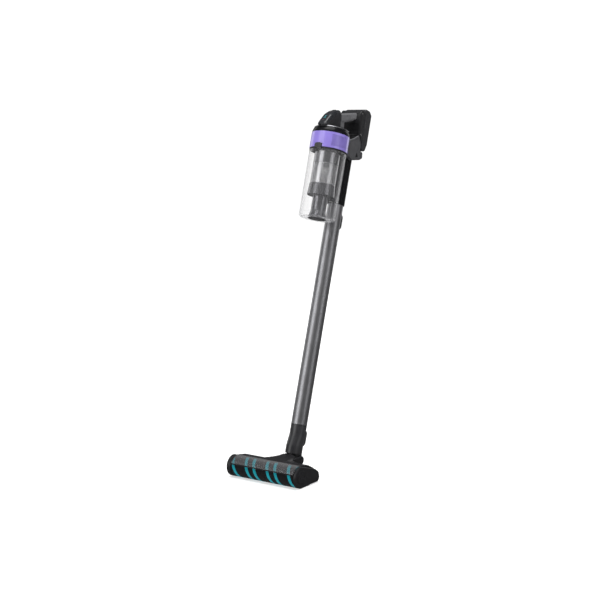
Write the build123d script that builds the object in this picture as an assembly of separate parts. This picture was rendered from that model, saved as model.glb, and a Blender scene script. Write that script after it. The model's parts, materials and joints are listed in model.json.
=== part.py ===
from build123d import *
import math
import os

# Cordless stick vacuum, millimetres, leaning back in its working pose.
#
# Two design frames are used, and both are moved to the part's own frame at the end:
#   floor frame:    roller axis along X at Y = 0, front at -Y, floor at Z = 0
#   upright frame:  tube axis along Z, front at -Y, its origin on the neck pivot
# The part's origin is the centre of its footprint, on the floor.

# ---- driving dimensions -------------------------------------------------------------------
LEAN = 16.7                 # tube leans back this many degrees
PIVOT_Y = 134.4             # neck pivot behind the roller axis
PIVOT_Z = 38.8              # neck pivot above the floor
FIT = 0.3                   # clearance between moving faces
SHAFT_FIT = 0.05            # radial running clearance of pins and shafts

# cleaner head
HEAD_HALF = 125.0           # half of the head's width
LEFT_INNER = -111.0         # inner face of the belt housing
RIGHT_INNER = 117.0         # inner face of the right end cap
ROLLER_R = 31.0             # over the fleece
ROLLER_Z = ROLLER_R         # the fleece touches the floor
CORE_R = 27.0
CHAMBER_R = ROLLER_R + 1.4  # inside of the roller chamber
WINDOW_WALL = 1.6
CAP_R = 31.6                # round front of the end caps
CAP_Z = CAP_R + 0.7
HEAD_FLOOR = 2.6            # underside of the head above the floor
HEAD_WALL = 2.4
MOTOR_Y = 58.0              # brush motor axis
MOTOR_Z = 24.0
MOTOR_R = 13.0
ROLLER_PULLEY_R = 13.0
MOTOR_PULLEY_R = 6.5
BELT_X = -118.0             # middle of the belt
BELT_WIDTH = 5.0
BELT_THICK = 1.5
FAIRING_END = PIVOT_Y - 25.2
FAIRING_TOP = 58.4
WHEEL_R = 8.5
WHEEL_Y = 100.5
WHEEL_X = 16.0
WHEEL_WIDTH = 7.0
AXLE_R = 1.5

# elbow and neck
BARREL_R = 24.5             # elbow barrel about the pivot
BARREL_HALF = 23.6
COLLAR_R = 21.3             # swivel collar inside the neck
COLLAR_TOP = 38.0
ARM_IN = BARREL_HALF + 0.9
ARM_OUT = 30.4
CHEEK_R = 13.0              # round ends of the arms that carry the elbow
PIVOT_PIN_R = 4.0
NECK_TOP = 104.0
NECK_FRONT_EDGE = 16.5
NECK_REAR_EDGE = 8.6
NECK_BULGE = 9.0            # the neck's front stands this far in front of the tube

# tube
TUBE_R = 24.0
TUBE_WALL = 1.4
TUBE_LOW = NECK_TOP + 0.5
TUBE_TOP = 784.0
SPIGOT_R = 20.6             # spigots that plug one section into the next
SPIGOT_BORE = 18.0
SPIGOT_LENGTH = 42.0
BUTTON_HALF = 14.0          # half width of the two rear release buttons
BUTTON_PROUD = 8.6
BUTTON_LENGTH = 46.0
BUTTON_TRAVEL = 2.0
TUBE_BUTTON_Z = 735.5       # middle of the tube's release button
NECK_BUTTON_Z = 66.0        # middle of the neck's release button

# dust bin and cyclone, on their own axis in front of the tube
BIN_Y = -87.4
BIN_LOW = 720.0
BIN_TOP = 925.6
BIN_R = 57.0
BIN_FOOT_R = 55.8
BIN_WALL = 2.0
SEAL_TOP = 929.4
RING_LOW = 930.0
RING_TOP = 978.0
RING_R = 58.0
RING_WALL = 2.6
CAP_TOP = 995.0
CAP_TOP_R = 52.0
CYCLONE_R = 38.8
MESH_TOP = 888.0
MESH_LOW = 824.0
SKIRT_LOW = 790.0
STEM_LOW = 725.0
KEY_FACE = 53.5             # inner face of the bin's release button, from the bin's axis

# handle, battery and body
BODY_HALF = 37.0
CRADLE_HALF = 38.0
CONSOLE_HALF = 17.0
GRIP_HALF = 15.0
POST_HALF = 12.5
FLARE_WIDTH = 54.0          # width of the grip where it meets the cradle
GRIP_RISE = 0.32            # the grip climbs this much for each millimetre to the rear
CONSOLE_LOW = 998.2         # where the console stands on the deck
PARTING_GAP = 0.3
SHELL_WALL = 2.4
CELL_R = 9.2
CELL_LENGTH = 65.0
CELL_COUNT = 6
CELL_LOW = 984.0            # axis of the lowest cell
CELL_Y = 47.0               # all cells lie this far behind the tube axis

# outlines, side on: (Y, Z) in the floor frame for the head, (forward, height) in the upright frame
HEAD_PROFILE = [(10, 64.0), (44, 58.6), (72, 43.5), (87.5, 29.0), (88.5, 9.5), (73, HEAD_FLOOR),
                (14, HEAD_FLOOR)]
HEAD_RADII = [1, 10, 8, 7, 7, 6, 1]
TAIL_PROFILE = [(0, 63.6), (6, 63.2), (70, 42.4), (86.5, 32.0), (92.0, 13.0), (83, HEAD_FLOOR),
                (44, HEAD_FLOOR), (37, 0.9), (0, 0.9)]
TAIL_RADII = [0, 6, 14, 12, 10, 6, 3, 3, 0]
HOUSING_PROFILE = [(52, 931.5), (24, 931.5), (3, 925.4), (-36, 936.8), (-49.3, 945.5), (-46.3, 963.5),
                   (-31.2, 964.5), (-29.8, 986), (-12.2, 1008), (11.3, 992.4), (37.6, 978.5), (52, 978.5)]
HOUSING_RADII = [0, 3, 3, 6, 6, 5, 2, 1, 4, 20, 4, 0]
CRADLE_PROFILE = [(-29.6, 987), (-12.2, 1008.6), (-10.6, 1022), (-1.1, 1054), (1.5, 1075), (-6.0, 1087),
                  (-13, 1088.6), (-23.0, 1087.5)]
CRADLE_RADII = [3.3, 3.3, 5, 8, 7, 7, 4, 3.3]
BATTERY_PROFILE = [(-24.6, 1090), (-28, 1096.8), (-49, 1096.8), (-62.4, 1086), (-63, 992), (-55, 969),
                   (-37, 967.2), (-31.6, 972)]
BATTERY_RADII = [4.4, 4.4, 8, 10, 14, 8, 6, 4.4]
CONSOLE_PROFILE = [(147.5, 998.2), (146.6, 1004.5), (123, 1036.5), (101, 1053), (81, 1061.5), (71.5, 1056),
                   (60, 998.2)]
CONSOLE_RADII = [0, 12, 30, 40, 11, 11, 0]
GRIP_PROFILE = [(80, 1050.6), (-3.4, 1077.5), (-9.2, 1053.6), (-3, 1051.2), (43, 1034.6), (74, 1025)]
GRIP_RADII = [0, 9, 7, 8, 0, 0]
POST_PROFILE = [(80, 1046), (48, 1056), (43.2, 1034), (38.4, 998.8), (72, 998.8)]
POST_RADII = [0, 0, 12, 5, 0]
CONSOLE_CROWN = 9.0         # rounding along the console's top edges
PARTING = ((150.0, 990.3), (84.0, 1058.2))   # the lens lies above this line, as (forward, height)

# place of each key on the console's crown: (forward, height, tilt of its axis from vertical)
POWER_KEY = (92.5, 1056.9, 24.0)
MODE_KEY = (108.0, 1048.3, 34.0)
KEY_R = 5.6
LATCH_PLACE = (-33.5, 1046.0)     # middle of the battery's side latches, (forward, height)

UPRIGHT = Pos(0, PIVOT_Y, PIVOT_Z) * Rot(-LEAN, 0, 0)
FLOOR = Pos(0, 0, 0)

nodes = {}


# ---- helpers ------------------------------------------------------------------------------
def add(name, shape, frame):
    """Keep a finished piece under its node name, in the floor frame."""
    nodes[name] = frame * shape


def face_of(points, radii=0.0):
    """A closed outline with rounded corners, as a face in its own XY plane."""
    return make_face(FilletPolyline(*points, radius=radii, close=True))


def prism(points, radii, x_low, x_high):
    """A side outline in (Y, Z), drawn out along X."""
    return extrude(Plane.YZ.offset(x_low) * face_of(points, radii), amount=x_high - x_low)


def rounded_prism(points, radii, half_width, round_over):
    """A side outline drawn out to both sides, with its two side faces' edges rounded."""
    block = prism(points, radii, -half_width, half_width)
    return fillet(block.faces().filter_by(Axis.X).edges(), round_over)


def inset_prism(points, radii, half_width, wall):
    """The hollow of a rounded prism: its outline pulled in by the wall."""
    inner = offset(face_of(points, radii), amount=-wall)
    return extrude(Plane.YZ.offset(wall - half_width) * inner, amount=2 * (half_width - wall))


def forward(points):
    """Turn (forward, height) pairs into the upright frame's (Y, Z)."""
    return [(-q, s) for q, s in points]


def turned(profile, axis_y=0.0):
    """A turned piece: (radius, height) points about the vertical line at axis_y."""
    half = make_face(Polyline(*profile, close=True))
    return Pos(0, axis_y, 0) * revolve(Plane.XZ * half, Axis.Z)


def drum(radius, low, high, axis_y=0.0):
    """An upright solid cylinder."""
    return Pos(0, axis_y, (low + high) / 2) * Cylinder(radius, high - low)


def pipe(outer, inner, low, high, axis_y=0.0):
    """An upright tube."""
    return drum(outer, low, high, axis_y) - drum(inner, low - 1, high + 1, axis_y)


def rod(radius, x_low, x_high, y, z):
    """A solid cylinder along X."""
    bar = Rot(0, 90, 0) * Cylinder(radius, x_high - x_low)
    return Pos((x_low + x_high) / 2, y, z) * bar


def sleeve(outer, inner, x_low, x_high, y, z):
    """A tube along X."""
    return rod(outer, x_low, x_high, y, z) - rod(inner, x_low - 1, x_high + 1, y, z)


def block(x, y, z):
    """A box between three pairs of limits."""
    size = [pair[1] - pair[0] for pair in (x, y, z)]
    middle = [(pair[0] + pair[1]) / 2 for pair in (x, y, z)]
    return Pos(*middle) * Box(*size)


# ---- cleaner head -------------------------------------------------------------------------
def chamber():
    """The space the roller turns in, open to the front and the floor."""
    return rod(CHAMBER_R, LEFT_INNER - 1, RIGHT_INNER + 1, 0, ROLLER_Z)


def head_body():
    """Rear casing: chamber wall, motor room, and a way through for the air."""
    outer = prism(HEAD_PROFILE, HEAD_RADII, LEFT_INNER + 0.2, RIGHT_INNER - 0.2)
    inner = offset(face_of(HEAD_PROFILE, HEAD_RADII), amount=-HEAD_WALL)
    room = extrude(Plane.YZ.offset(LEFT_INNER + 2.6) * inner, amount=RIGHT_INNER - LEFT_INNER - 5.2)
    room -= rod(CHAMBER_R + HEAD_WALL, -HEAD_HALF, HEAD_HALF, 0, ROLLER_Z)
    hatch = block((-100, 100), (42, 74), (HEAD_FLOOR - 1, HEAD_FLOOR + 5))
    mouth = block((-22, 22), (20, 40), (20, 40))
    rear_port = block((-17, 17), (80, 95), (13, 29))
    shaft_hole = rod(4.0, LEFT_INNER - 1, LEFT_INNER + 6, MOTOR_Y, MOTOR_Z)
    body = outer - chamber() - room - hatch - mouth - rear_port - shaft_hole
    nose = block((-HEAD_HALF, HEAD_HALF), (-50, 14.5), (-5, 34))
    return body - nose


def window():
    """Clear front cover, from the top of the head down to the front opening."""
    outer = CHAMBER_R + WINDOW_WALL
    shell = sleeve(outer, CHAMBER_R, LEFT_INNER + 0.2, RIGHT_INNER - 0.2, 0, ROLLER_Z)
    keep = prism([(0, ROLLER_Z), (-60, ROLLER_Z + 22), (-60, 90), (9.6, 90), (9.6, ROLLER_Z + 20)],
                 0, LEFT_INNER, RIGHT_INNER)
    lip_z = ROLLER_Z + outer * math.sin(math.radians(20.5))
    lip_y = -outer * math.cos(math.radians(20.5))
    lip = rod(1.0, LEFT_INNER + 0.2, RIGHT_INNER - 0.2, lip_y + 0.9, lip_z)
    return (shell & keep) + lip


def end_plate(x_low, x_high):
    """Side plate of the head: round in front, falling away to the rear."""
    tail = prism(TAIL_PROFILE, TAIL_RADII, x_low, x_high)
    front = rod(CAP_R, x_low, x_high, 0, CAP_Z)
    return tail + front


def belt_housing():
    """Left side of the head, hollow, with the belt inside."""
    shell = end_plate(-HEAD_HALF + 2.2, LEFT_INNER)
    loop = belt_outline(3.5)
    hollow = extrude(Plane.YZ.offset(-HEAD_HALF) * loop, amount=HEAD_HALF + LEFT_INNER - 2.2)
    hub_hole = rod(9.0, -HEAD_HALF, 0, 0, ROLLER_Z)
    shaft_hole = rod(4.0, -HEAD_HALF, 0, MOTOR_Y, MOTOR_Z)
    return shell - hollow - hub_hole - shaft_hole


def belt_cover():
    """Outer plate over the belt, with a softened rim."""
    plate = end_plate(-HEAD_HALF, -HEAD_HALF + 2.2)
    return chamfer(plate.faces().sort_by(Axis.X)[0].edges(), 0.9)


def right_cap():
    """Right end cap, with a round seat for the roller lock."""
    plate = end_plate(RIGHT_INNER, HEAD_HALF)
    plate = chamfer(plate.faces().sort_by(Axis.X)[-1].edges(), 1.4)
    seat = rod(20.0, HEAD_HALF - 3.2, HEAD_HALF + 1, 0, CAP_Z)
    spindle = rod(7.0 + FIT, RIGHT_INNER - 1, HEAD_HALF, 0, ROLLER_Z)
    return plate - seat - spindle


def roller_lock():
    """Twist lock that holds the roller's bearing in the right cap."""
    dial = rod(19.6, HEAD_HALF - 2.9, HEAD_HALF + 0.6, 0, CAP_Z)
    dial = chamfer(dial.faces().sort_by(Axis.X)[-1].edges(), 0.8)
    for side in (-1, 1):
        dimple = Pos(HEAD_HALF + 4.5, side * 10.5, CAP_Z) * Sphere(5.6)
        dial -= dimple
    return dial


def pulley(radius, y, z, teeth, bore):
    """Toothed belt pulley along X."""
    wheel = rod(radius, BELT_X - BELT_WIDTH / 2, BELT_X + BELT_WIDTH / 2, y, z)
    for index in range(teeth):
        angle = 2 * math.pi * index / teeth
        groove_y = y + radius * math.cos(angle)
        groove_z = z + radius * math.sin(angle)
        wheel -= rod(0.55, BELT_X - BELT_WIDTH, BELT_X + BELT_WIDTH, groove_y, groove_z)
    return wheel - rod(bore, BELT_X - 10, BELT_X + 10, y, z)


def belt_outline(grow):
    """Face inside a loop round both pulleys, grown outwards."""
    span = math.hypot(MOTOR_Y, MOTOR_Z - ROLLER_Z)
    big = ROLLER_PULLEY_R + grow
    small = MOTOR_PULLEY_R + grow
    slope = math.acos((big - small) / span)
    rise = math.atan2(MOTOR_Z - ROLLER_Z, MOTOR_Y)
    corners = []
    for side in (1, -1):
        angle = rise + side * slope
        corners.append((big * math.cos(angle), ROLLER_Z + big * math.sin(angle)))
        corners.append((MOTOR_Y + small * math.cos(angle), MOTOR_Z + small * math.sin(angle)))
    web = make_face(Polyline(corners[0], corners[1], corners[3], corners[2], close=True))
    return web + Pos(0, ROLLER_Z) * Circle(big) + Pos(MOTOR_Y, MOTOR_Z) * Circle(small)


def belt():
    """Belt from the motor pulley to the roller pulley."""
    plane = Plane.YZ.offset(BELT_X - BELT_WIDTH / 2)
    outer = extrude(plane * belt_outline(FIT + BELT_THICK), amount=BELT_WIDTH)
    inner = extrude(plane * belt_outline(FIT), amount=BELT_WIDTH)
    return outer - inner


def roller_core():
    """Hollow roller core with a spindle at each end."""
    tube = sleeve(CORE_R, CORE_R - 3, LEFT_INNER + 2, RIGHT_INNER - 2, 0, ROLLER_Z)
    left = rod(CORE_R - 3, LEFT_INNER + 2, LEFT_INNER + 6, 0, ROLLER_Z)
    right = rod(CORE_R - 3, RIGHT_INNER - 6, RIGHT_INNER - 2, 0, ROLLER_Z)
    drive = rod(6.0, BELT_X - 4, LEFT_INNER + 3, 0, ROLLER_Z)
    spindle = rod(3.0, RIGHT_INNER - 3, HEAD_HALF - 3.4, 0, ROLLER_Z)
    return tube + left + right + drive + spindle


def roller_fleece():
    """Soft sleeve over the core; its nap brushes the floor."""
    return sleeve(ROLLER_R, CORE_R, LEFT_INNER + 2.5, RIGHT_INNER - 2.5, 0, ROLLER_Z)


def fairing():
    """Centre duct from the head to the pivot, with an arm each side of the elbow."""
    ridge = [(-20, FAIRING_TOP), (20, FAIRING_TOP), (33, 36), (33, 19.5), (-33, 19.5), (-33, 36)]
    section = face_of(ridge, [4, 4, 5, 3, 3, 5])
    start = 46.0
    duct = extrude(Plane.XZ.offset(-FAIRING_END) * section, amount=FAIRING_END - start)
    head = prism(HEAD_PROFILE, HEAD_RADII, -40, 40)
    bore = [(-15, 46), (15, 46), (24, 33), (24, 22.5), (-24, 22.5), (-24, 33)]
    air = extrude(Plane.XZ.offset(-FAIRING_END - 1) * face_of(bore, 3), amount=60)
    arm_profile = [(FAIRING_END - 12, 24), (FAIRING_END - 12, 50), (PIVOT_Y, PIVOT_Z + CHEEK_R - 0.5),
                   (PIVOT_Y, PIVOT_Z - CHEEK_R + 0.5)]
    arms = prism(arm_profile, 0, -ARM_OUT, ARM_OUT) + rod(CHEEK_R, -ARM_OUT, ARM_OUT, PIVOT_Y, PIVOT_Z)
    for side in arms.faces().sort_by(Axis.X)[0], arms.faces().sort_by(Axis.X)[-1]:
        arms = chamfer([edge for edge in side.edges() if edge in arms.edges()], 1.2)
    arms -= block((-ARM_IN, ARM_IN), (FAIRING_END - 0.1, 200), (0, 100))
    arms -= rod(PIVOT_PIN_R + SHAFT_FIT, -50, 50, PIVOT_Y, PIVOT_Z)
    body = duct - head + arms
    wheel_room = block((WHEEL_X - 5, WHEEL_X + 5), (89, 111), (0, 20.5))
    body = body - air - wheel_room - mirror(wheel_room, Plane.YZ)
    for ear in wheel_ears():
        body += ear
    return body


def wheel_ears():
    """Ears under the duct that carry the floor wheels' axle."""
    profile = [(WHEEL_Y - 7, 22), (WHEEL_Y + 7, 22), (WHEEL_Y + 3.5, 5.5), (WHEEL_Y - 3.5, 5.5)]
    ears = []
    for x in (-WHEEL_X - 7, -WHEEL_X + 5, WHEEL_X - 7, WHEEL_X + 5):
        ears.append(prism(profile, [0, 0, 3, 3], x, x + 2))
    hole = rod(AXLE_R + SHAFT_FIT, -WHEEL_X - 10, WHEEL_X + 10, WHEEL_Y, WHEEL_R)
    return [ear - hole for ear in ears]


def floor_wheel(side):
    """Rear floor wheel with a groove round its tread."""
    low = side * WHEEL_X - WHEEL_WIDTH / 2
    tyre = rod(WHEEL_R, low, low + WHEEL_WIDTH, WHEEL_Y, WHEEL_R)
    tyre = fillet(tyre.edges().filter_by(GeomType.CIRCLE), 1.2)
    middle = side * WHEEL_X
    groove = sleeve(WHEEL_R + 1, WHEEL_R - 0.6, middle - 0.7, middle + 0.7, WHEEL_Y, WHEEL_R)
    return tyre - groove


def sole_plate():
    """Hatch under the motor room, held by four screws."""
    plate = block((-99.7, 99.7), (42.3, 73.7), (HEAD_FLOOR, HEAD_FLOOR + 2.3))
    plate = fillet(plate.edges().filter_by(Axis.Z), 2)
    for x, y in screw_places():
        plate -= Pos(x, y, HEAD_FLOOR) * Cylinder(1.6, 12)
        plate -= Pos(x, y, HEAD_FLOOR + 0.5) * Cylinder(3.2, 1.4)
    return plate


def screw_places():
    """Centres of the sole plate's screws."""
    return [(x, y) for x in (-92, 92) for y in (46.8, 69.2)]


def sole_screws():
    """Four screws as one group of separate solids."""
    group = []
    for x, y in screw_places():
        head = Pos(x, y, HEAD_FLOOR + 0.6) * Cylinder(2.9, 1.0)
        shank = Pos(x, y, HEAD_FLOOR + 4.0) * Cylinder(1.4, 6.0)
        slot = Pos(x, y, HEAD_FLOOR + 0.2) * Box(4.2, 0.8, 0.8)
        group.append(head + shank - slot)
    return Compound(children=group)


def build_head():
    add("head_casing", head_body(), FLOOR)
    add("head_window", window(), FLOOR)
    add("belt_housing", belt_housing(), FLOOR)
    add("belt_cover", belt_cover(), FLOOR)
    add("end_cap", right_cap(), FLOOR)
    add("duct_fairing", fairing(), FLOOR)
    add("sole_plate", sole_plate(), FLOOR)
    add("sole_screws", sole_screws(), FLOOR)
    add("rear_felt_strip", block((-108, 112), (16, 22), (0.6, HEAD_FLOOR)), FLOOR)
    add("brush_motor", rod(MOTOR_R, LEFT_INNER + 4, LEFT_INNER + 64, MOTOR_Y, MOTOR_Z)
        - rod(2.6, LEFT_INNER, LEFT_INNER + 30, MOTOR_Y, MOTOR_Z), FLOOR)
    bearing = sleeve(7.0, 3.0 + SHAFT_FIT, RIGHT_INNER + 0.4, HEAD_HALF - 3.6, 0, ROLLER_Z)
    add("roller_bearing", bearing, FLOOR)
    add("drive_belt", belt(), FLOOR)
    add("roller_lock", roller_lock(), FLOOR)
    add("roller_core", roller_core(), FLOOR)
    add("roller_fleece", roller_fleece(), FLOOR)
    add("roller_pulley", pulley(ROLLER_PULLEY_R, 0, ROLLER_Z, 26, 6.0), FLOOR)
    shaft = rod(2.0, BELT_X - 4, LEFT_INNER + 28, MOTOR_Y, MOTOR_Z)
    add("motor_pulley", pulley(MOTOR_PULLEY_R, MOTOR_Y, MOTOR_Z, 13, 1.9) + shaft, FLOOR)
    axle = rod(AXLE_R, -WHEEL_X - 7, WHEEL_X + 7, WHEEL_Y, WHEEL_R)
    add("floor_wheels", axle + floor_wheel(-1) + floor_wheel(1), FLOOR)


# ---- elbow, neck and tube -----------------------------------------------------------------
def elbow():
    """Barrel between the head's arms, with the swivel collar on top and an air way through."""
    barrel = rod(BARREL_R, -BARREL_HALF, BARREL_HALF, 0, 0)
    barrel = fillet(barrel.edges().filter_by(GeomType.CIRCLE), 5.0)
    above = drum(60, NECK_REAR_EDGE - 0.6, 60) - drum(COLLAR_R, -10, 70)
    collar = drum(COLLAR_R, 0, COLLAR_TOP)
    body = barrel - above + collar
    up = drum(16.5, 0, COLLAR_TOP + 1)
    ball = Sphere(16.5)
    out = Rot(90 - LEAN - 28, 0, 0) * (Pos(0, 0, 20) * Cylinder(13.5, 40))
    pin_hole = rod(PIVOT_PIN_R - 0.5, -60, 60, 0, 0)
    return body - up - ball - out - pin_hole


def elbow_pins():
    """Two pins that carry the elbow in the head's arms."""
    pins = [rod(PIVOT_PIN_R - 0.5, 17, ARM_IN, 0, 0) + rod(PIVOT_PIN_R, ARM_IN, ARM_OUT, 0, 0)]
    pins.append(mirror(pins[0], Plane.YZ))
    return Compound(children=pins)


def neck_shell():
    """Neck: bulging forward low down, with a spigot for the tube on top."""
    low_face = Pos(0, -NECK_BULGE / 2, 0) * Ellipse(TUBE_R, TUBE_R + NECK_BULGE / 2)
    mid_face = Pos(0, -NECK_BULGE / 2, 40) * Ellipse(TUBE_R, TUBE_R + NECK_BULGE / 2)
    top_face = Pos(0, 0, 76) * Circle(TUBE_R)
    body = loft([low_face, mid_face]) + loft([mid_face, top_face]) + drum(TUBE_R, 76, NECK_TOP)
    trim = prism([(-60, -20), (-60, NECK_FRONT_EDGE), (-6, NECK_FRONT_EDGE), (9, NECK_REAR_EDGE),
                  (60, NECK_REAR_EDGE), (60, -20)], [0, 0, 9, 9, 0, 0], -60, 60)
    body = body - trim + drum(SPIGOT_R - 1.0, NECK_TOP, NECK_TOP + SPIGOT_LENGTH)
    body = body - drum(COLLAR_R + FIT, 0, COLLAR_TOP + 1) - drum(SPIGOT_BORE - 1, 0, 200)
    return body - button_pocket(NECK_BUTTON_Z)


def button_pocket(middle):
    """Recess behind a rear release button, with clearance all round and room for its travel."""
    half = BUTTON_LENGTH / 2 + FIT
    reach = BUTTON_HALF + FIT
    room = block((-reach, reach), (10, TUBE_R + 20), (middle - half, middle + half))
    return room - drum(TUBE_R - 6.2, middle - 60, middle + 60)


def rear_button(middle):
    """Rear release button: a rounded pad that is pressed towards the tube's axis."""
    half = BUTTON_LENGTH / 2
    y_out = TUBE_R + BUTTON_PROUD
    side = [(10, middle - half), (TUBE_R - 1, middle - half), (y_out - 1.5, middle - half + 9),
            (y_out, middle + half - 8), (TUBE_R, middle + half), (10, middle + half)]
    pad = prism(side, [0, 3, 8, 6, 3, 0], -BUTTON_HALF, BUTTON_HALF)
    pad &= drum(TUBE_R + BUTTON_PROUD + 0.8, middle - 60, middle + 60)
    return pad - drum(TUBE_R - 6.0 + BUTTON_TRAVEL, middle - 60, middle + 60)


def main_tube():
    """Straight metal tube, with a window for its release button."""
    tube = pipe(TUBE_R, TUBE_R - TUBE_WALL, TUBE_LOW, TUBE_TOP)
    return tube - button_pocket(TUBE_BUTTON_Z)


def tube_collar():
    """Moulded sleeve in the tube's top, with the spigot that enters the main unit."""
    seat = TUBE_R - TUBE_WALL - SHAFT_FIT
    inside = pipe(seat, SPIGOT_BORE + 1, 700, TUBE_TOP)
    spigot = pipe(SPIGOT_R, SPIGOT_BORE, TUBE_TOP - 4, TUBE_TOP + SPIGOT_LENGTH)
    return inside + spigot - button_pocket(TUBE_BUTTON_Z)


def tube_socket():
    """Moulded sleeve in the tube's foot that takes the neck's spigot."""
    seat = TUBE_R - TUBE_WALL - SHAFT_FIT
    return pipe(seat, SPIGOT_R - 1 + SHAFT_FIT, TUBE_LOW, TUBE_LOW + SPIGOT_LENGTH + 6)


def wire_duct():
    """Flat conduit along the inside of the tube that feeds the head's motor."""
    low = TUBE_LOW + SPIGOT_LENGTH + 7
    seat = TUBE_R - TUBE_WALL - SHAFT_FIT
    strip = block((-5, 5), (-seat, -seat + 3.6), (low, 699))
    return strip & drum(seat, low, 699)


def build_stick():
    add("elbow", elbow(), UPRIGHT)
    add("elbow_pins", elbow_pins(), UPRIGHT)
    add("neck_shell", neck_shell(), UPRIGHT)
    add("neck_button", rear_button(NECK_BUTTON_Z), UPRIGHT)
    add("tube", main_tube(), UPRIGHT)
    add("tube_collar", tube_collar(), UPRIGHT)
    add("tube_socket", tube_socket(), UPRIGHT)
    add("tube_wire_duct", wire_duct(), UPRIGHT)
    add("tube_button", rear_button(TUBE_BUTTON_Z), UPRIGHT)


# ---- dust bin and cyclone -----------------------------------------------------------------
def bin_cup():
    """Clear cup, slightly tapered, with a rounded foot and a notch for the air inlet."""
    outer = turned([(0, BIN_LOW), (BIN_FOOT_R - 4, BIN_LOW), (BIN_FOOT_R, BIN_LOW + 4), (BIN_R, BIN_TOP),
                    (0, BIN_TOP)], BIN_Y)
    inner = turned([(0, BIN_LOW + 2.4), (BIN_FOOT_R - 6, BIN_LOW + 2.4), (BIN_FOOT_R - BIN_WALL, BIN_LOW + 6),
                    (BIN_R - BIN_WALL, BIN_TOP + 1), (0, BIN_TOP + 1)], BIN_Y)
    notch = block((-12.5, 12.5), (BIN_Y + 40, BIN_Y + 70), (892, BIN_TOP + 1))
    return outer - inner - notch


def bin_foot():
    """Dark disc under the cup's middle, with a low rim."""
    return turned([(0, BIN_LOW - 1.6), (26, BIN_LOW - 1.6), (28, BIN_LOW - 0.05), (0, BIN_LOW - 0.05)], BIN_Y)


def bin_seal():
    """Soft seal on the cup's rim."""
    ring = pipe(BIN_R - 0.2, BIN_R - 4.5, BIN_TOP, SEAL_TOP, BIN_Y)
    notch = block((-12.5, 12.5), (BIN_Y + 40, BIN_Y + 70), (BIN_TOP - 1, SEAL_TOP + 1))
    behind_button = block((-17, 17), (BIN_Y - 60, BIN_Y - 48.6), (BIN_TOP, SEAL_TOP))
    behind_button &= drum(BIN_R - 0.2, BIN_TOP, SEAL_TOP, BIN_Y)
    return ring + behind_button - notch - bin_button_room()


def bin_button():
    """Release button across the ring's lower front edge: a rounded trapezium, pressed inwards."""
    low = BIN_TOP + 0.7
    outline = [(-11.5, low), (11.5, low), (12.5, 934), (8.5, 941), (-8.5, 941), (-12.5, 934)]
    pad = extrude(Plane.XZ.offset(KEY_FACE - BIN_Y) * face_of(outline, 2.2), amount=9)
    return pad & drum(RING_R + 2.2, 900, 960, BIN_Y)


def bin_button_room():
    """Space for the release button and its travel, open at the bottom."""
    outline = [(-13, BIN_TOP), (13, BIN_TOP), (13, 934.3), (8.8, 941.4), (-8.8, 941.4), (-13, 934.3)]
    shape = face_of(outline, [0, 0, 2.2, 2.2, 2.2, 2.2])
    return extrude(Plane.XZ.offset(KEY_FACE - BUTTON_TRAVEL - 0.5 - BIN_Y) * shape, amount=20)


def cyclone_band():
    """Upper band of the cyclone, under the ring."""
    return pipe(CYCLONE_R, CYCLONE_R - 2.4, MESH_TOP, RING_LOW - 0.1, BIN_Y)


def cyclone_mesh():
    """Perforated metal filter."""
    return pipe(CYCLONE_R - 0.3, CYCLONE_R - 1.3, MESH_LOW, MESH_TOP, BIN_Y)


def cyclone_skirt():
    """Flared skirt under the mesh."""
    return turned([(CYCLONE_R + 0.6, MESH_LOW), (CYCLONE_R + 3.2, SKIRT_LOW), (CYCLONE_R + 1.2, SKIRT_LOW),
                   (CYCLONE_R - 1.4, MESH_LOW - 2), (25, MESH_LOW - 2), (25, MESH_LOW)], BIN_Y)


def cyclone_stem():
    """Inner cone and stem, with a flared foot over the cup's floor."""
    return turned([(20, MESH_LOW - 2.2), (25, MESH_LOW - 2.2), (23.4, SKIRT_LOW), (22.8, 745), (27, STEM_LOW),
                   (24.6, STEM_LOW), (20.4, 745), (20.8, SKIRT_LOW)], BIN_Y)


def build_bin():
    add("bin_cup", bin_cup(), UPRIGHT)
    add("bin_foot", bin_foot(), UPRIGHT)
    add("bin_seal", bin_seal(), UPRIGHT)
    add("bin_release_button", bin_button(), UPRIGHT)
    add("cyclone_band", cyclone_band(), UPRIGHT)
    add("cyclone_mesh", cyclone_mesh(), UPRIGHT)
    add("cyclone_skirt", cyclone_skirt(), UPRIGHT)
    add("cyclone_stem", cyclone_stem(), UPRIGHT)


# ---- main unit ----------------------------------------------------------------------------
def air_duct():
    """Black duct that carries the air up behind the bin, with a socket for the tube."""
    section = Pos(0, 0, TUBE_TOP + 0.6) * RectangleRounded(2 * TUBE_R - 1, 2 * TUBE_R, 15)
    duct = extrude(section, amount=RING_LOW - TUBE_TOP)
    duct += block((-12, 12), (-34.6, -20), (894, SEAL_TOP - 0.4))
    socket = drum(SPIGOT_R + FIT, TUBE_TOP, TUBE_TOP + SPIGOT_LENGTH + 3)
    way = drum(SPIGOT_BORE, TUBE_TOP, 918)
    duct = duct - socket - way - block((-9.6, 9.6), (-40, 0), (896.4, 926))
    for x in (-10, 10):
        duct -= block((x - 0.8, x + 0.8), (TUBE_R - 0.9, TUBE_R + 1), (TUBE_TOP, 925))
    for side in (-1, 1):
        wall = side * (TUBE_R - 0.5)
        duct -= block((wall - 0.9, wall + 0.9), (-6, -4.4), (TUBE_TOP, 925))
    return duct


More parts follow.
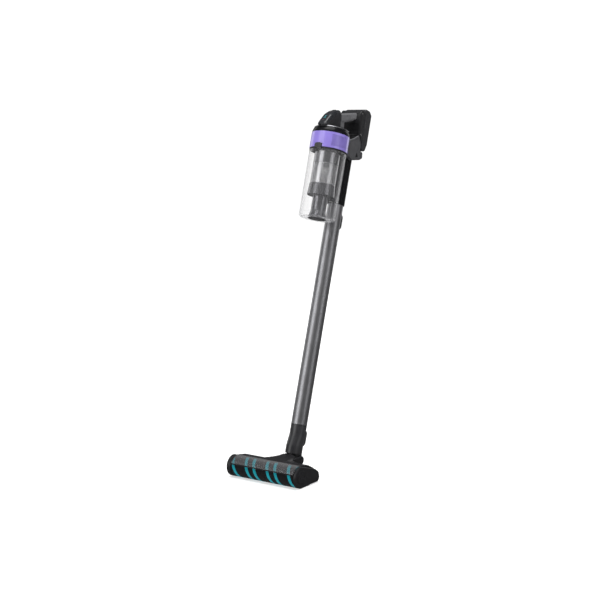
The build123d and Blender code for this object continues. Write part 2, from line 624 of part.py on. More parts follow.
def motor_housing():
    """Lower body behind the ring: hollow, open towards the ring and the tube duct."""
    body = rounded_prism(forward(HOUSING_PROFILE), HOUSING_RADII, BODY_HALF, 2.5)
    hollow = inset_prism(forward(HOUSING_PROFILE), HOUSING_RADII, BODY_HALF, SHELL_WALL)
    hollow += block((-30, 30), (-60, -36), (935, 975))
    ring_room = drum(RING_R + 0.15, 900, 1000, BIN_Y)
    duct_room = block((-TUBE_R, TUBE_R), (-TUBE_R - 0.3, TUBE_R + 0.3), (900, RING_LOW + 1))
    plug_room = block((-16, 16), (33, 44), (955, 970))
    return body - hollow - ring_room - duct_room - plug_room


def terminal_block():
    """Contact block in the body's foot, under the battery."""
    base = block((-15, 15), (34, 43), (958, 966.2))
    for x in (-9, -3, 3, 9):
        base -= block((x - 1.2, x + 1.2), (36, 41), (963, 970))
    return base


def separator_ring():
    """Coloured ring with the exhaust vents, on the bin's axis."""
    shell = turned([(RING_R - 0.6, RING_LOW), (RING_R, RING_LOW + 2), (RING_R, RING_TOP - 2),
                    (RING_R - 0.6, RING_TOP), (RING_R - RING_WALL, RING_TOP),
                    (RING_R - RING_WALL, RING_LOW + 3), (CYCLONE_R - 2, RING_LOW + 3),
                    (CYCLONE_R - 2, RING_LOW)], BIN_Y)
    return shell - bin_button_room()


def top_cap():
    """Gloss cap over the motor, with a rounded shoulder."""
    return turned([(RING_R - 0.4, RING_TOP + 0.2), (RING_R - 0.4, RING_TOP + 5),
                   (RING_R - 1.6, RING_TOP + 9.5), (RING_R - 3.6, RING_TOP + 13.5),
                   (CAP_TOP_R + 1, CAP_TOP), (CAP_TOP_R - 2, CAP_TOP),
                   (RING_R - 6.4, RING_TOP + 12), (RING_R - 4.2, RING_TOP + 8), (RING_R - 3.0, RING_TOP + 4),
                   (RING_R - 3.0, RING_TOP + 0.2)], BIN_Y)


def cap_trim():
    """Bright trim on the cap's upper edge."""
    return turned([(CAP_TOP_R + 1.4, CAP_TOP + 0.1), (CAP_TOP_R + 1.0, CAP_TOP + 1.9),
                   (CAP_TOP_R - 1.4, CAP_TOP + 2.4), (CAP_TOP_R - 1.4, CAP_TOP + 0.1)], BIN_Y)


def console_wall():
    """The console's outer wall, its upper side edges rounded into a crown."""
    body = prism(forward(CONSOLE_PROFILE), CONSOLE_RADII, -CONSOLE_HALF, CONSOLE_HALF)
    sides = body.faces().filter_by(Axis.X).edges()
    crown = [edge for edge in sides if edge.center().Z > CONSOLE_LOW + 1]
    body = fillet(crown, CONSOLE_CROWN)
    return body - inset_prism(forward(CONSOLE_PROFILE), CONSOLE_RADII, CONSOLE_HALF, SHELL_WALL)


def above_parting(shift):
    """The space above the console's parting line, moved up by a shift."""
    (q_low, s_low), (q_high, s_high) = PARTING
    points = [(q_low, s_low), (q_high, s_high), (q_high - 40, s_high + 10), (q_high - 10, 1100),
              (q_low, 1100)]
    return prism(forward([(q, s + shift) for q, s in points]), 0, -40, 40)


def console_shell():
    """Deck inside the cap's trim with the lower half of the console on it."""
    deck = drum(CAP_TOP_R - 1.6, CAP_TOP + 0.1, CAP_TOP + 3.6, BIN_Y)
    foot = block((-11, 11), (-130, -62), (990, 1004))
    return console_wall() - above_parting(-PARTING_GAP) + deck - foot


def display_lens():
    """Gloss upper half of the console, with a hole for each key."""
    lens = console_wall() & above_parting(0)
    for place in (POWER_KEY, MODE_KEY):
        lens -= key_seat(place)
    return lens


def control_board():
    """Circuit board under the lens."""
    return prism(forward([(128, 1023), (126.8, 1021.8), (98.8, 1043.8), (100, 1045)]), 0, -12, 12)


def key_frame(place):
    """Frame of a key, its Z axis pointing out of the console."""
    q, s, tilt = place
    return Pos(0, -q, s) * Rot(tilt, 0, 0)


def key_seat(place):
    """Hole for a key."""
    return key_frame(place) * Cylinder(KEY_R + 0.25, 14)


def key(place):
    """Push key with a dished top and a wider foot inside the console."""
    stem = Pos(0, 0, -1.6) * Cylinder(KEY_R, 5.6)
    stem = fillet(stem.edges().sort_by(Axis.Z)[-1], 0.8)
    return key_frame(place) * stem


def grip_solid(wall=0.0):
    """The grip with its front post and the flare at its rear end, or its hollow when a wall is given."""
    if wall:
        bar = inset_prism(forward(GRIP_PROFILE), GRIP_RADII, GRIP_HALF, wall)
        return bar + inset_prism(forward(POST_PROFILE), POST_RADII, POST_HALF, wall)
    bar = rounded_prism(forward(GRIP_PROFILE), GRIP_RADII, GRIP_HALF, 6.5)
    post = rounded_prism(forward(POST_PROFILE), POST_RADII, POST_HALF, 3.0)
    along = Vector(0, 1, GRIP_RISE)
    narrow = Plane(origin=(0, -24, 1057.3), x_dir=(1, 0, 0), z_dir=along) * RectangleRounded(26, 21.0, 6)
    wide = Plane(origin=(0, 8, 1067.5), x_dir=(1, 0, 0), z_dir=along) * RectangleRounded(FLARE_WIDTH, 22.5, 7)
    return bar + post + loft([narrow, wide])


def grip_shell(side):
    """Half of the handle grip, hollow, split down the middle."""
    limits = (0.0, 60) if side > 0 else (-60, 0.0)
    half = block(limits, (-120, 60), (990, 1100))
    console = prism(forward(CONSOLE_PROFILE), CONSOLE_RADII, -60, 60)
    cradle = prism(forward(CRADLE_PROFILE), CRADLE_RADII, -60, 60)
    return (grip_solid() - grip_solid(3.2) - console - cradle) & half


def battery_cradle():
    """Rear wall of the handle that the battery hangs on."""
    body = rounded_prism(forward(CRADLE_PROFILE), CRADLE_RADII, CRADLE_HALF, 3.0)
    hollow = inset_prism(forward(CRADLE_PROFILE), CRADLE_RADII, CRADLE_HALF, SHELL_WALL)
    window = prism(forward([(-31, 1000), (-20, 1000), (-18, 1030), (-30, 1030)]), 0, -22, 22)
    return body - hollow - window


def battery_shell():
    """Battery case, open in front, where its lid sits."""
    body = rounded_prism(forward(BATTERY_PROFILE), BATTERY_RADII, CRADLE_HALF, 4.0)
    hollow = inset_prism(forward(BATTERY_PROFILE), BATTERY_RADII, CRADLE_HALF, SHELL_WALL)
    front = prism(forward([(-20, 978), (-36, 978), (-31, 1084), (-20, 1084)]), 0, -33, 33)
    shell = body - hollow - front
    for side in (-1, 1):
        shell -= latch_room(side)
    return shell


def battery_lid():
    """Front lid of the battery case."""
    return prism(forward([(-30.9, 978.4), (-33.2, 978.4), (-27.0, 1083.6), (-24.8, 1083.6)]), 0, -32.6, 32.6)


def battery_cells():
    """Six round cells lying across the case, one above the other, as separate solids."""
    cells = []
    for index in range(CELL_COUNT):
        height = CELL_LOW + index * (2 * CELL_R + 0.7)
        cells.append(rod(CELL_R, -CELL_LENGTH / 2, CELL_LENGTH / 2, CELL_Y, height))
    return Compound(children=cells)


def latch_outline(grow):
    """Side outline of a battery latch."""
    q, s = LATCH_PLACE
    half_q = 3.2 + grow
    half_s = 8.0 + grow
    low, high = s - half_s, s + half_s
    return forward([(q - half_q, low), (q + half_q, low), (q + half_q, high), (q - half_q, high)])


def latch_room(side):
    """Opening in the battery case's side for a latch."""
    limits = sorted((side * (CRADLE_HALF - 4.5), side * (CRADLE_HALF + 4)))
    return prism(latch_outline(FIT), 1.8, *limits)


def battery_latch(side):
    """Side latch, squeezed inwards to free the battery."""
    limits = sorted((side * (CRADLE_HALF - 4.0), side * (CRADLE_HALF + 0.9)))
    return prism(latch_outline(0), 1.5, *limits)


def suction_motor():
    """Motor can, hollow, with a bearing hole at each end."""
    can = pipe(29.0, 26.0, 946, 986, BIN_Y)
    floor = pipe(27.0, 3.0 + SHAFT_FIT, 946, 949, BIN_Y)
    lid = pipe(27.0, 3.0 + SHAFT_FIT, 983, 986, BIN_Y)
    return can + floor + lid


def exhaust_filter():
    """Ring of filter paper behind the vents, cut away behind the release button."""
    ring = pipe(54.8, 48.0, 936, 974, BIN_Y)
    return ring - block((-14, 14), (BIN_Y - 70, BIN_Y - 50.4), (930, 943))


def impeller():
    """Fan under the motor: a hub plate with curved blades."""
    plate = drum(25.0, 943.0, 944.4, BIN_Y) + drum(6.0, 936.0, 944.4, BIN_Y)
    blades = 9
    for index in range(blades):
        blade = block((5.5, 24), (-0.5, 0.5), (937.0, 943.2))
        plate += Pos(0, BIN_Y, 0) * Rot(0, 0, 360 * index / blades) * blade
    return plate - drum(3.0, 930, 960, BIN_Y)


def build_unit():
    add("air_duct", air_duct(), UPRIGHT)
    add("motor_housing", motor_housing(), UPRIGHT)
    add("terminal_block", terminal_block(), UPRIGHT)
    add("separator_ring", separator_ring(), UPRIGHT)
    add("top_cap", top_cap(), UPRIGHT)
    add("cap_trim", cap_trim(), UPRIGHT)
    add("console_shell", console_shell(), UPRIGHT)
    add("display_lens", display_lens(), UPRIGHT)
    add("control_board", control_board(), UPRIGHT)
    add("power_key", key(POWER_KEY), UPRIGHT)
    add("mode_key", key(MODE_KEY), UPRIGHT)
    add("grip_shell_left", grip_shell(-1), UPRIGHT)
    add("grip_shell_right", grip_shell(1), UPRIGHT)
    add("battery_cradle", battery_cradle(), UPRIGHT)
    add("battery_case", battery_shell(), UPRIGHT)
    add("battery_lid", battery_lid(), UPRIGHT)
    add("battery_cells", battery_cells(), UPRIGHT)
    add("battery_latch_left", battery_latch(-1), UPRIGHT)
    add("battery_latch_right", battery_latch(1), UPRIGHT)
    add("suction_motor", suction_motor(), UPRIGHT)
    add("motor_mount", pipe(34.0, 29.05, 962, 970, BIN_Y), UPRIGHT)
    add("impeller", impeller(), UPRIGHT)
    add("motor_shaft", drum(3.0, 936, 990, BIN_Y), UPRIGHT)
    add("exhaust_filter", exhaust_filter(), UPRIGHT)
    add("pre_filter", pipe(CYCLONE_R - 3, 8, 924, 928.5, BIN_Y), UPRIGHT)


# ---- the part's own frame, and the files --------------------------------------------------
build_head()
build_stick()
build_bin()
build_unit()

boxes = [shape.bounding_box() for shape in nodes.values()]
rear = max(box.max.Y for box in boxes)
front = min(box.min.Y for box in boxes)
ground = min(box.min.Z for box in boxes)
CENTRE = Pos(0, -(front + rear) / 2, -ground)

os.makedirs("parts", exist_ok=True)
for node_name, shape in nodes.items():
    export_step(CENTRE * shape, os.path.join("parts", node_name + ".step"))
print(len(nodes), "nodes; moved by", CENTRE.position)
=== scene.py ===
import json
import math
import random

import bmesh
import bpy
from mathutils import Matrix, Vector
from mathutils.bvhtree import BVHTree


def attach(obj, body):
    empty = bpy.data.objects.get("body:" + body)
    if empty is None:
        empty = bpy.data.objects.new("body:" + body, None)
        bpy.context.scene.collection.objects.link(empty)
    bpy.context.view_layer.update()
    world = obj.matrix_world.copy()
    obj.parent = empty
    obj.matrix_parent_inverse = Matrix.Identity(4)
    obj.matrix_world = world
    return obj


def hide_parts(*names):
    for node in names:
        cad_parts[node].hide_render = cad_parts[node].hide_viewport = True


# Looks of the cordless stick vacuum. The row frame is in metres. Two design frames are in
# millimetres. The upright frame has its origin on the neck pivot, Z up the tube and -Y to the
# front. The floor frame has the roller's axis over Y = 0 and the floor at Z = 0.

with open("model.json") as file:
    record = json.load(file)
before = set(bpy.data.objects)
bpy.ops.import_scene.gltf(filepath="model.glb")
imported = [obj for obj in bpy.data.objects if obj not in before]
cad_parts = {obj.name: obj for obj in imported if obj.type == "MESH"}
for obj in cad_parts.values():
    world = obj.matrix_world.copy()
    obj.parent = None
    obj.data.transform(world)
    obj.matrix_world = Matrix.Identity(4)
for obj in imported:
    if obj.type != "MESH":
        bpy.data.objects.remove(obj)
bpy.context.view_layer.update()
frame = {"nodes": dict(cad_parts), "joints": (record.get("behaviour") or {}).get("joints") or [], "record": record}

MM = 0.001
joints = {joint["name"]: joint for joint in frame["joints"]}


# ---- the two design frames ------------------------------------------------------------------
def upright_matrix():
    """Matrix from the upright frame, in millimetres, to the row frame, in metres."""
    z_axis = Vector(joints["head_swivel"]["axis"]).normalized()
    x_axis = Vector((1, 0, 0))
    y_axis = z_axis.cross(x_axis)
    turn = Matrix((x_axis, y_axis, z_axis)).transposed().to_4x4()
    return Matrix.Translation(Vector(joints["head_pitch"]["pos_m"])) @ turn @ Matrix.Scale(MM, 4)


def floor_matrix():
    """Matrix from the floor frame, in millimetres, to the row frame: roller axis above Y = 0."""
    roller = Vector(joints["roller_spin"]["pos_m"])
    return Matrix.Translation(Vector((0, roller.y, 0))) @ Matrix.Scale(MM, 4)


UPRIGHT = upright_matrix()
FLOOR = floor_matrix()
UP = Vector((0, 0, 1))


# ---- materials ------------------------------------------------------------------------------
def new_material(name):
    """An empty node material and its shader."""
    material = bpy.data.materials.new(name)
    material.use_nodes = True
    nodes = material.node_tree.nodes
    return material, nodes, material.node_tree.links, nodes["Principled BSDF"]


def noise(nodes, links, scale, detail=4.0, rough=0.55, stretch=None):
    """Noise in object coordinates; stretch is a rotation and a scale."""
    coords = nodes.new("ShaderNodeTexCoord")
    texture = nodes.new("ShaderNodeTexNoise")
    texture.inputs["Scale"].default_value = scale
    texture.inputs["Detail"].default_value = detail
    texture.inputs["Roughness"].default_value = rough
    source = coords.outputs["Object"]
    if stretch is not None:
        mapping = nodes.new("ShaderNodeMapping")
        mapping.inputs["Rotation"].default_value = stretch[0]
        mapping.inputs["Scale"].default_value = stretch[1]
        links.new(source, mapping.inputs["Vector"])
        source = mapping.outputs["Vector"]
    links.new(source, texture.inputs["Vector"])
    return texture.outputs["Fac"]


def remap(nodes, links, value, low, high, start=0.3, stop=0.7):
    """Spread a 0 to 1 value over low to high."""
    step = nodes.new("ShaderNodeMapRange")
    step.inputs["From Min"].default_value = start
    step.inputs["From Max"].default_value = stop
    step.inputs["To Min"].default_value = low
    step.inputs["To Max"].default_value = high
    links.new(value, step.inputs["Value"])
    return step.outputs["Result"]


def blend_colour(nodes, links, factor, first, second):
    """Mix two colours, each a tuple or a socket."""
    mix = nodes.new("ShaderNodeMix")
    mix.data_type = "RGBA"
    links.new(factor, mix.inputs["Factor"])
    for socket, colour in ((mix.inputs[6], first), (mix.inputs[7], second)):
        if isinstance(colour, tuple):
            socket.default_value = (*colour, 1.0)
        else:
            links.new(colour, socket)
    return mix.outputs[2]


def edge_mask(nodes, links, radius):
    """Rounded normal at hard edges, and how far it turns from the flat one."""
    bevel = nodes.new("ShaderNodeBevel")
    bevel.samples = 4
    bevel.inputs["Radius"].default_value = radius
    geometry = nodes.new("ShaderNodeNewGeometry")
    dot = nodes.new("ShaderNodeVectorMath")
    dot.operation = "DOT_PRODUCT"
    links.new(bevel.outputs["Normal"], dot.inputs[0])
    links.new(geometry.outputs["Normal"], dot.inputs[1])
    mask = remap(nodes, links, dot.outputs["Value"], 1.0, 0.0, 0.86, 0.995)
    return bevel.outputs["Normal"], mask


def moulded(name, colour, roughness=0.4, grain=2600.0, bump=0.12, wear=0.25, edge=0.0007,
            specular=0.5, coat=0.0, metallic=0.0, mottle=0.12):
    """Moulded plastic or coated metal: fine grain, uneven gloss, faint mottling and rubbed edges."""
    material, nodes, links, shader = new_material(name)
    normal, edges = edge_mask(nodes, links, edge)
    cloud = noise(nodes, links, 38.0, 5.0)
    dark = tuple(channel * (1 - mottle) for channel in colour)
    light = tuple(min(1.0, channel * (1 + mottle)) for channel in colour)
    base = blend_colour(nodes, links, remap(nodes, links, cloud, 0, 1), dark, light)
    scuffs = noise(nodes, links, 420.0, 6.0, 0.7)
    rubbed = nodes.new("ShaderNodeMath")
    rubbed.operation = "MULTIPLY"
    links.new(edges, rubbed.inputs[0])
    links.new(remap(nodes, links, scuffs, 0.0, wear, 0.42, 0.66), rubbed.inputs[1])
    worn = tuple(min(1.0, channel * 1.35 + 0.05) for channel in colour)
    painted = blend_colour(nodes, links, rubbed.outputs["Value"], base, worn)
    links.new(painted, shader.inputs["Base Color"])
    smudge = noise(nodes, links, 70.0, 6.0, 0.6)
    links.new(remap(nodes, links, smudge, roughness * 0.85, min(1.0, roughness * 1.18)),
              shader.inputs["Roughness"])
    grit = nodes.new("ShaderNodeBump")
    grit.inputs["Strength"].default_value = bump
    grit.inputs["Distance"].default_value = 0.00006
    links.new(noise(nodes, links, grain, 3.0), grit.inputs["Height"])
    links.new(normal, grit.inputs["Normal"])
    links.new(grit.outputs["Normal"], shader.inputs["Normal"])
    shader.inputs["Specular IOR Level"].default_value = specular
    shader.inputs["Coat Weight"].default_value = coat
    shader.inputs["Coat Roughness"].default_value = 0.08
    shader.inputs["Metallic"].default_value = metallic
    return material


def brushed(name, colour, roughness=0.3, anisotropy=0.4):
    """Brushed or drawn metal with fine lines along the upright."""
    material, nodes, links, shader = new_material(name)
    lean = math.atan2(joints["head_swivel"]["axis"][1], joints["head_swivel"]["axis"][2])
    lines = noise(nodes, links, 900.0, 4.0, 0.6, ((lean, 0, 0), (1.0, 1.0, 0.02)))
    cloud = noise(nodes, links, 22.0, 4.0)
    dark = tuple(channel * 0.9 for channel in colour)
    light = tuple(min(1.0, channel * 1.08) for channel in colour)
    base = blend_colour(nodes, links, remap(nodes, links, cloud, 0, 1), dark, light)
    links.new(base, shader.inputs["Base Color"])
    links.new(remap(nodes, links, lines, roughness * 0.8, roughness * 1.25),
              shader.inputs["Roughness"])
    bump = nodes.new("ShaderNodeBump")
    bump.inputs["Strength"].default_value = 0.15
    bump.inputs["Distance"].default_value = 0.00004
    links.new(lines, bump.inputs["Height"])
    normal, _ = edge_mask(nodes, links, 0.0006)
    links.new(normal, bump.inputs["Normal"])
    links.new(bump.outputs["Normal"], shader.inputs["Normal"])
    shader.inputs["Metallic"].default_value = 1.0
    shader.inputs["Anisotropic"].default_value = anisotropy
    return material


def clear(name, colour, face_on, edge_on, polish=(0.04, 0.12)):
    """Clear plastic: see-through face on, milkier where it turns away, with hairline scratches."""
    material, nodes, links, shader = new_material(name)
    scratches = noise(nodes, links, 500.0, 8.0, 0.75, ((0.3, 0, 0.6), (1.0, 1.0, 0.05)))
    links.new(remap(nodes, links, scratches, *polish, 0.5, 0.8), shader.inputs["Roughness"])
    haze = noise(nodes, links, 30.0, 3.0)
    shaded = tuple(channel * 0.94 for channel in colour)
    links.new(blend_colour(nodes, links, haze, colour, shaded), shader.inputs["Base Color"])
    turned = nodes.new("ShaderNodeLayerWeight")
    turned.inputs["Blend"].default_value = 0.4
    cover = remap(nodes, links, turned.outputs["Facing"], face_on, edge_on, 0.3, 1.0)
    links.new(cover, shader.inputs["Alpha"])
    shader.inputs["IOR"].default_value = 1.9
    return material


def fibre(name, colour, scale=900.0, sheen=0.4):
    """Fleece or felt: deep soft noise and sheen."""
    material, nodes, links, shader = new_material(name)
    tufts = noise(nodes, links, scale, 6.0, 0.7)
    dark = tuple(channel * 0.45 for channel in colour)
    light = tuple(min(1.0, channel * 1.25) for channel in colour)
    pile = blend_colour(nodes, links, remap(nodes, links, tufts, 0, 1), dark, light)
    links.new(pile, shader.inputs["Base Color"])
    links.new(remap(nodes, links, tufts, 0.8, 0.98), shader.inputs["Roughness"])
    bump = nodes.new("ShaderNodeBump")
    bump.inputs["Strength"].default_value = 0.7
    bump.inputs["Distance"].default_value = 0.0006
    links.new(tufts, bump.inputs["Height"])
    links.new(bump.outputs["Normal"], shader.inputs["Normal"])
    shader.inputs["Sheen Weight"].default_value = sheen
    shader.inputs["Specular IOR Level"].default_value = 0.2
    return material


MATERIALS = {
    "housing_grey": moulded("housing_grey", (0.056, 0.056, 0.061), 0.45, bump=0.18, specular=0.35),
    "dark_shell": moulded("dark_shell", (0.027, 0.027, 0.030), 0.32, bump=0.1),
    "black_gloss": moulded("black_gloss", (0.006, 0.006, 0.007), 0.24, bump=0.03, specular=0.12),
    "violet_gloss": moulded("violet_gloss", (0.225, 0.175, 0.53), 0.23, bump=0.04, coat=0.45,
                            mottle=0.05),
    # trim: the light grey ring on the cap's shoulder is partly a painted highlight along that edge
    "trim": brushed("trim", (0.34, 0.34, 0.36), 0.34),
    "lens": moulded("lens", (0.020, 0.021, 0.024), 0.26, bump=0.02, coat=0.1, specular=0.35),
    "key": moulded("key", (0.03, 0.03, 0.032), 0.5, bump=0.2),
    "clear": clear("clear", (0.56, 0.56, 0.58), 0.055, 0.46),
    "metal_grey": brushed("metal_grey", (0.33, 0.33, 0.345), 0.22),
    "mesh": brushed("mesh", (0.60, 0.60, 0.615), 0.24),
    "mid_grey": moulded("mid_grey", (0.15, 0.15, 0.16), 0.2, bump=0.04, metallic=0.85, coat=0.1),
    "tube_metal": brushed("tube_metal", (0.345, 0.345, 0.36), 0.4, 0.2),
    "head_plastic": moulded("head_plastic", (0.011, 0.011, 0.013), 0.42, bump=0.2, specular=0.35),
    "fleece": fibre("fleece", (0.006, 0.006, 0.007), sheen=0.06),
    "teal": fibre("teal", (0.0, 0.27, 0.33), 700.0, 0.15),
    "felt": fibre("felt", (0.06, 0.06, 0.065), 1400.0),
    "rubber": moulded("rubber", (0.02, 0.02, 0.02), 0.75, bump=0.3, specular=0.3),
    "core": moulded("core", (0.12, 0.12, 0.13), 0.5),
    "steel": brushed("steel", (0.6, 0.6, 0.62), 0.25),
    "cell": moulded("cell", (0.08, 0.16, 0.3), 0.35),
    "board": moulded("board", (0.01, 0.08, 0.04), 0.4),
    "foam": fibre("foam", (0.4, 0.4, 0.41), 1500.0, 0.1),
    "paper": fibre("paper", (0.75, 0.75, 0.7), 600.0, 0.1),
    "white_nylon": moulded("white_nylon", (0.7, 0.7, 0.67), 0.4),
    "window_clear": clear("window_clear", (0.28, 0.28, 0.29), 0.14, 0.55, (0.22, 0.32)),
    "cradle_black": moulded("cradle_black", (0.010, 0.010, 0.0115), 0.4, bump=0.15, specular=0.35),
    "battery_grey": moulded("battery_grey", (0.018, 0.018, 0.0205), 0.42, bump=0.18, specular=0.35),
    "grip_satin": moulded("grip_satin", (0.13, 0.13, 0.137), 0.3, bump=0.1, coat=0.6),
    "console_side": moulded("console_side", (0.021, 0.021, 0.0235), 0.5, bump=0.15, specular=0.25),
    "lamp_teal": moulded("lamp_teal", (0.05, 0.34, 0.38), 0.3, bump=0.02),
    "lamp_rose": moulded("lamp_rose", (0.35, 0.09, 0.13), 0.3, bump=0.02),
    "soft_black": moulded("soft_black", (0.006, 0.006, 0.007), 0.65, bump=0.2, specular=0.2),
    # light grey for painted highlights along lit edges
    "painted_highlight_grey": moulded("painted_highlight_grey", (0.24, 0.24, 0.25), 0.35, bump=0.05, coat=0.1),
}
# nodes whose finish differs from the others in their slot
NODE_FINISH = {
    "motor_housing": "housing_grey",
    "battery_cradle": "cradle_black",
    "battery_case": "battery_grey",
    "grip_shell_left": "grip_satin",
    "grip_shell_right": "grip_satin",
    "console_shell": "console_side",
    "roller_lock": "head_plastic",
}


def paint_cad_nodes():
    """Give every CAD node its own finish, or the material of its slot in the record."""
    for entry in frame["record"]["subparts"]:
        node = frame["nodes"][entry["node"]]
        node.data.materials.clear()
        finish = NODE_FINISH.get(entry["node"], entry["material_slot"])
        node.data.materials.append(MATERIALS[finish])


# ---- mesh helpers, all in millimetres -------------------------------------------------------
CREASE = math.radians(35)       # edges sharper than this stay hard


def piece(name, shell, material, body, matrix=UPRIGHT, nodes=()):
    """Turn a bmesh into a smooth-shaded piece that rides on a CAD body."""
    bmesh.ops.recalc_face_normals(shell, faces=shell.faces)
    for face in shell.faces:
        face.smooth = True
    for edge in shell.edges:
        if len(edge.link_faces) == 2 and edge.calc_face_angle(0.0) > CREASE:
            edge.smooth = False
    mesh = bpy.data.meshes.new(name)
    shell.to_mesh(mesh)
    shell.free()
    mesh.transform(matrix)
    mesh.materials.append(MATERIALS[material])
    item = bpy.data.objects.new(name, mesh)
    bpy.context.collection.objects.link(item)
    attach(item, body)
    if nodes:
        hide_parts(*nodes)
    return item


def loft(shell, rings, looped=False):
    """Skin a row of equal rings of points, with caps on its ends unless it closes on itself."""
    loops = [[shell.verts.new(point) for point in ring] for ring in rings]
    pairs = list(zip(loops, loops[1:]))
    if looped:
        pairs.append((loops[-1], loops[0]))
    for low, high in pairs:
        for index in range(len(low)):
            following = (index + 1) % len(low)
            shell.faces.new((low[index], low[following], high[following], high[index]))
    if not looped:
        shell.faces.new(loops[0][::-1])
        shell.faces.new(loops[-1])
    return shell


def lathe(shell, profile, axis_y=0.0, start=0.0, turn=360.0, steps=96):
    """Turn an outline of (radius, height) points about an upright line; 0 degrees is the front."""
    whole = turn > 359.9
    rings = []
    for step in range(steps if whole else steps + 1):
        angle = math.radians(start + turn * step / steps)
        across, ahead = math.sin(angle), math.cos(angle)
        rings.append([Vector((r * across, axis_y - r * ahead, z)) for r, z in profile])
    return loft(shell, rings, looped=whole)


def band(inner, outer, low, high):
    """Square-cornered profile for lathe."""
    return [(outer, low), (outer, high), (inner, high), (inner, low)]


def bead(shell, points, radius, sides=8, closed=False):
    """Round bead along a line of points."""
    rings = []
    count = len(points)
    side = None
    for index, point in enumerate(points):
        if closed:
            ahead = points[(index + 1) % count] - points[index - 1]
        else:
            ahead = points[min(index + 1, count - 1)] - points[max(index - 1, 0)]
        ahead.normalize()
        if side is None:
            side = ahead.orthogonal().normalized()
        side = (side - ahead * side.dot(ahead)).normalized()
        other = ahead.cross(side)
        ring = []
        for step in range(sides):
            turn = 2 * math.pi * step / sides
            ring.append(point + side * radius * math.cos(turn) + other * radius * math.sin(turn))
        rings.append(ring)
    return loft(shell, rings, looped=closed)


def pad(shell, here, centre, size, radius, tilt=0.0):
    """Rounded block in a local frame, turned about the frame's Z by the tilt."""
    made = bmesh.ops.create_cube(shell, size=1.0)["verts"]
    bmesh.ops.scale(shell, vec=size, verts=made)
    edges = list({edge for vertex in made for edge in vertex.link_edges})
    result = bmesh.ops.bevel(shell, geom=edges + made, offset=radius, segments=2, profile=0.5,
                             affect="EDGES")
    verts = list({vertex for face in result["faces"] for vertex in face.verts}
                 | {vertex for vertex in made if vertex.is_valid})
    turn = here.to_3x3().to_4x4() @ Matrix.Rotation(tilt, 4, "Z")
    place = Matrix.Translation(here @ Vector(centre)) @ turn
    bmesh.ops.transform(shell, matrix=place, verts=verts)


def thin_sheet(shell, rows, shift):
    """Sheet through a grid of points, with its other face moved by a vector."""
    grid = [[shell.verts.new(point) for point in row] for row in rows]
    under = [[shell.verts.new(point + shift) for point in row] for row in rows]
    for layer in (grid, under):
        for low, high in zip(layer, layer[1:]):
            for index in range(len(low) - 1):
                shell.faces.new((low[index], low[index + 1], high[index + 1], high[index]))
    last_row, last = len(rows) - 1, len(rows[0]) - 1
    border = ([(0, i) for i in range(last + 1)] + [(j, last) for j in range(1, last_row + 1)]
              + [(last_row, i) for i in range(last - 1, -1, -1)]
              + [(j, 0) for j in range(last_row - 1, 0, -1)])
    for (a, b), (c, d) in zip(border, border[1:] + border[:1]):
        shell.faces.new((grid[a][b], grid[c][d], under[c][d], under[a][b]))


def outline_plate(shell, outline, through, soften):
    """Plate from an outline of points and a vector through its thickness, with softened edges."""
    front = [shell.verts.new(point) for point in outline]
    back = [shell.verts.new(point + through) for point in outline]
    faces = [shell.faces.new(front), shell.faces.new(back[::-1])]
    for index in range(len(front)):
        following = (index + 1) % len(front)
        faces.append(shell.faces.new((front[index], back[index], back[following], front[following])))
    edges = list({edge for face in faces[:2] for edge in face.edges})
    bmesh.ops.bevel(shell, geom=edges, offset=soften, segments=2, profile=0.5, affect="EDGES")


def rounded_outline(points, radius, steps=5):
    """Closed 2-D outline with each corner replaced by an arc."""
    result = []
    count = len(points)
    for index, point in enumerate(points):
        here = Vector(point)
        back = (Vector(points[index - 1]) - here).normalized()
        ahead = (Vector(points[(index + 1) % count]) - here).normalized()
        half = back.angle(ahead) / 2
        reach = radius / math.tan(half)
        middle = here + (back + ahead).normalized() * radius / math.sin(half)
        first = here + back * reach - middle
        second = here + ahead * reach - middle
        sweep = first.angle_signed(second)
        for step in range(steps + 1):
            turn = -sweep * step / steps
            result.append(middle + Matrix.Rotation(turn, 2) @ first)
    return result


surface_trees = {}


def surface_point(node, origin, direction):
    """Where a ray meets a CAD node, and the normal there, in the upright frame."""
    if node not in surface_trees:
        mesh = frame["nodes"][node].data
        corners = [vertex.co.copy() for vertex in mesh.vertices]
        faces = [tuple(face.vertices) for face in mesh.polygons]
        surface_trees[node] = BVHTree.FromPolygons(corners, faces)
    start = UPRIGHT @ Vector(origin)
    ahead = (UPRIGHT.to_3x3() @ Vector(direction)).normalized()
    place, normal, _, _ = surface_trees[node].ray_cast(start, ahead)
    back = UPRIGHT.inverted()
    return back @ place, (back.to_3x3() @ normal).normalized()


def surface_rib(shell, node, half, steps, origin, direction, lift, radius):
    """Bead from side to side on a CAD node; origin is the rays' (depth, height)."""
    points = []
    for step in range(steps + 1):
        x = -half + 2 * half * step / steps
        spot, normal = surface_point(node, (x, *origin), direction)
        points.append(spot + normal * lift)
    bead(shell, points, radius, 6)


# ---- ring and cyclone -----------------------------------------------------------------------
BIN_Y = -87.4
RING_LOW, RING_TOP = 930.0, 978.0
RING_OUT, RING_IN = 58.0, 55.4
VENT_FROM, VENT_TO = math.radians(40), math.radians(96)
VENT_LOW, VENT_HIGH = 937.0, 972.0
MESH_LOW, MESH_TOP = 824.0, 888.0
MESH_OUT, MESH_IN = 38.5, 37.7
BUTTON_GAP, BUTTON_TOP = math.radians(13.4), 941.5      # opening for the release button
HOLE_SIDES = 12


def arc_points(radius, height, start, stop, steps):
    """Points along an arc about the bin's axis, in degrees from the front."""
    points = []
    for step in range(steps + 1):
        angle = math.radians(start + (stop - start) * step / steps)
        points.append(Vector((radius * math.sin(angle), BIN_Y - radius * math.cos(angle), height)))
    return points


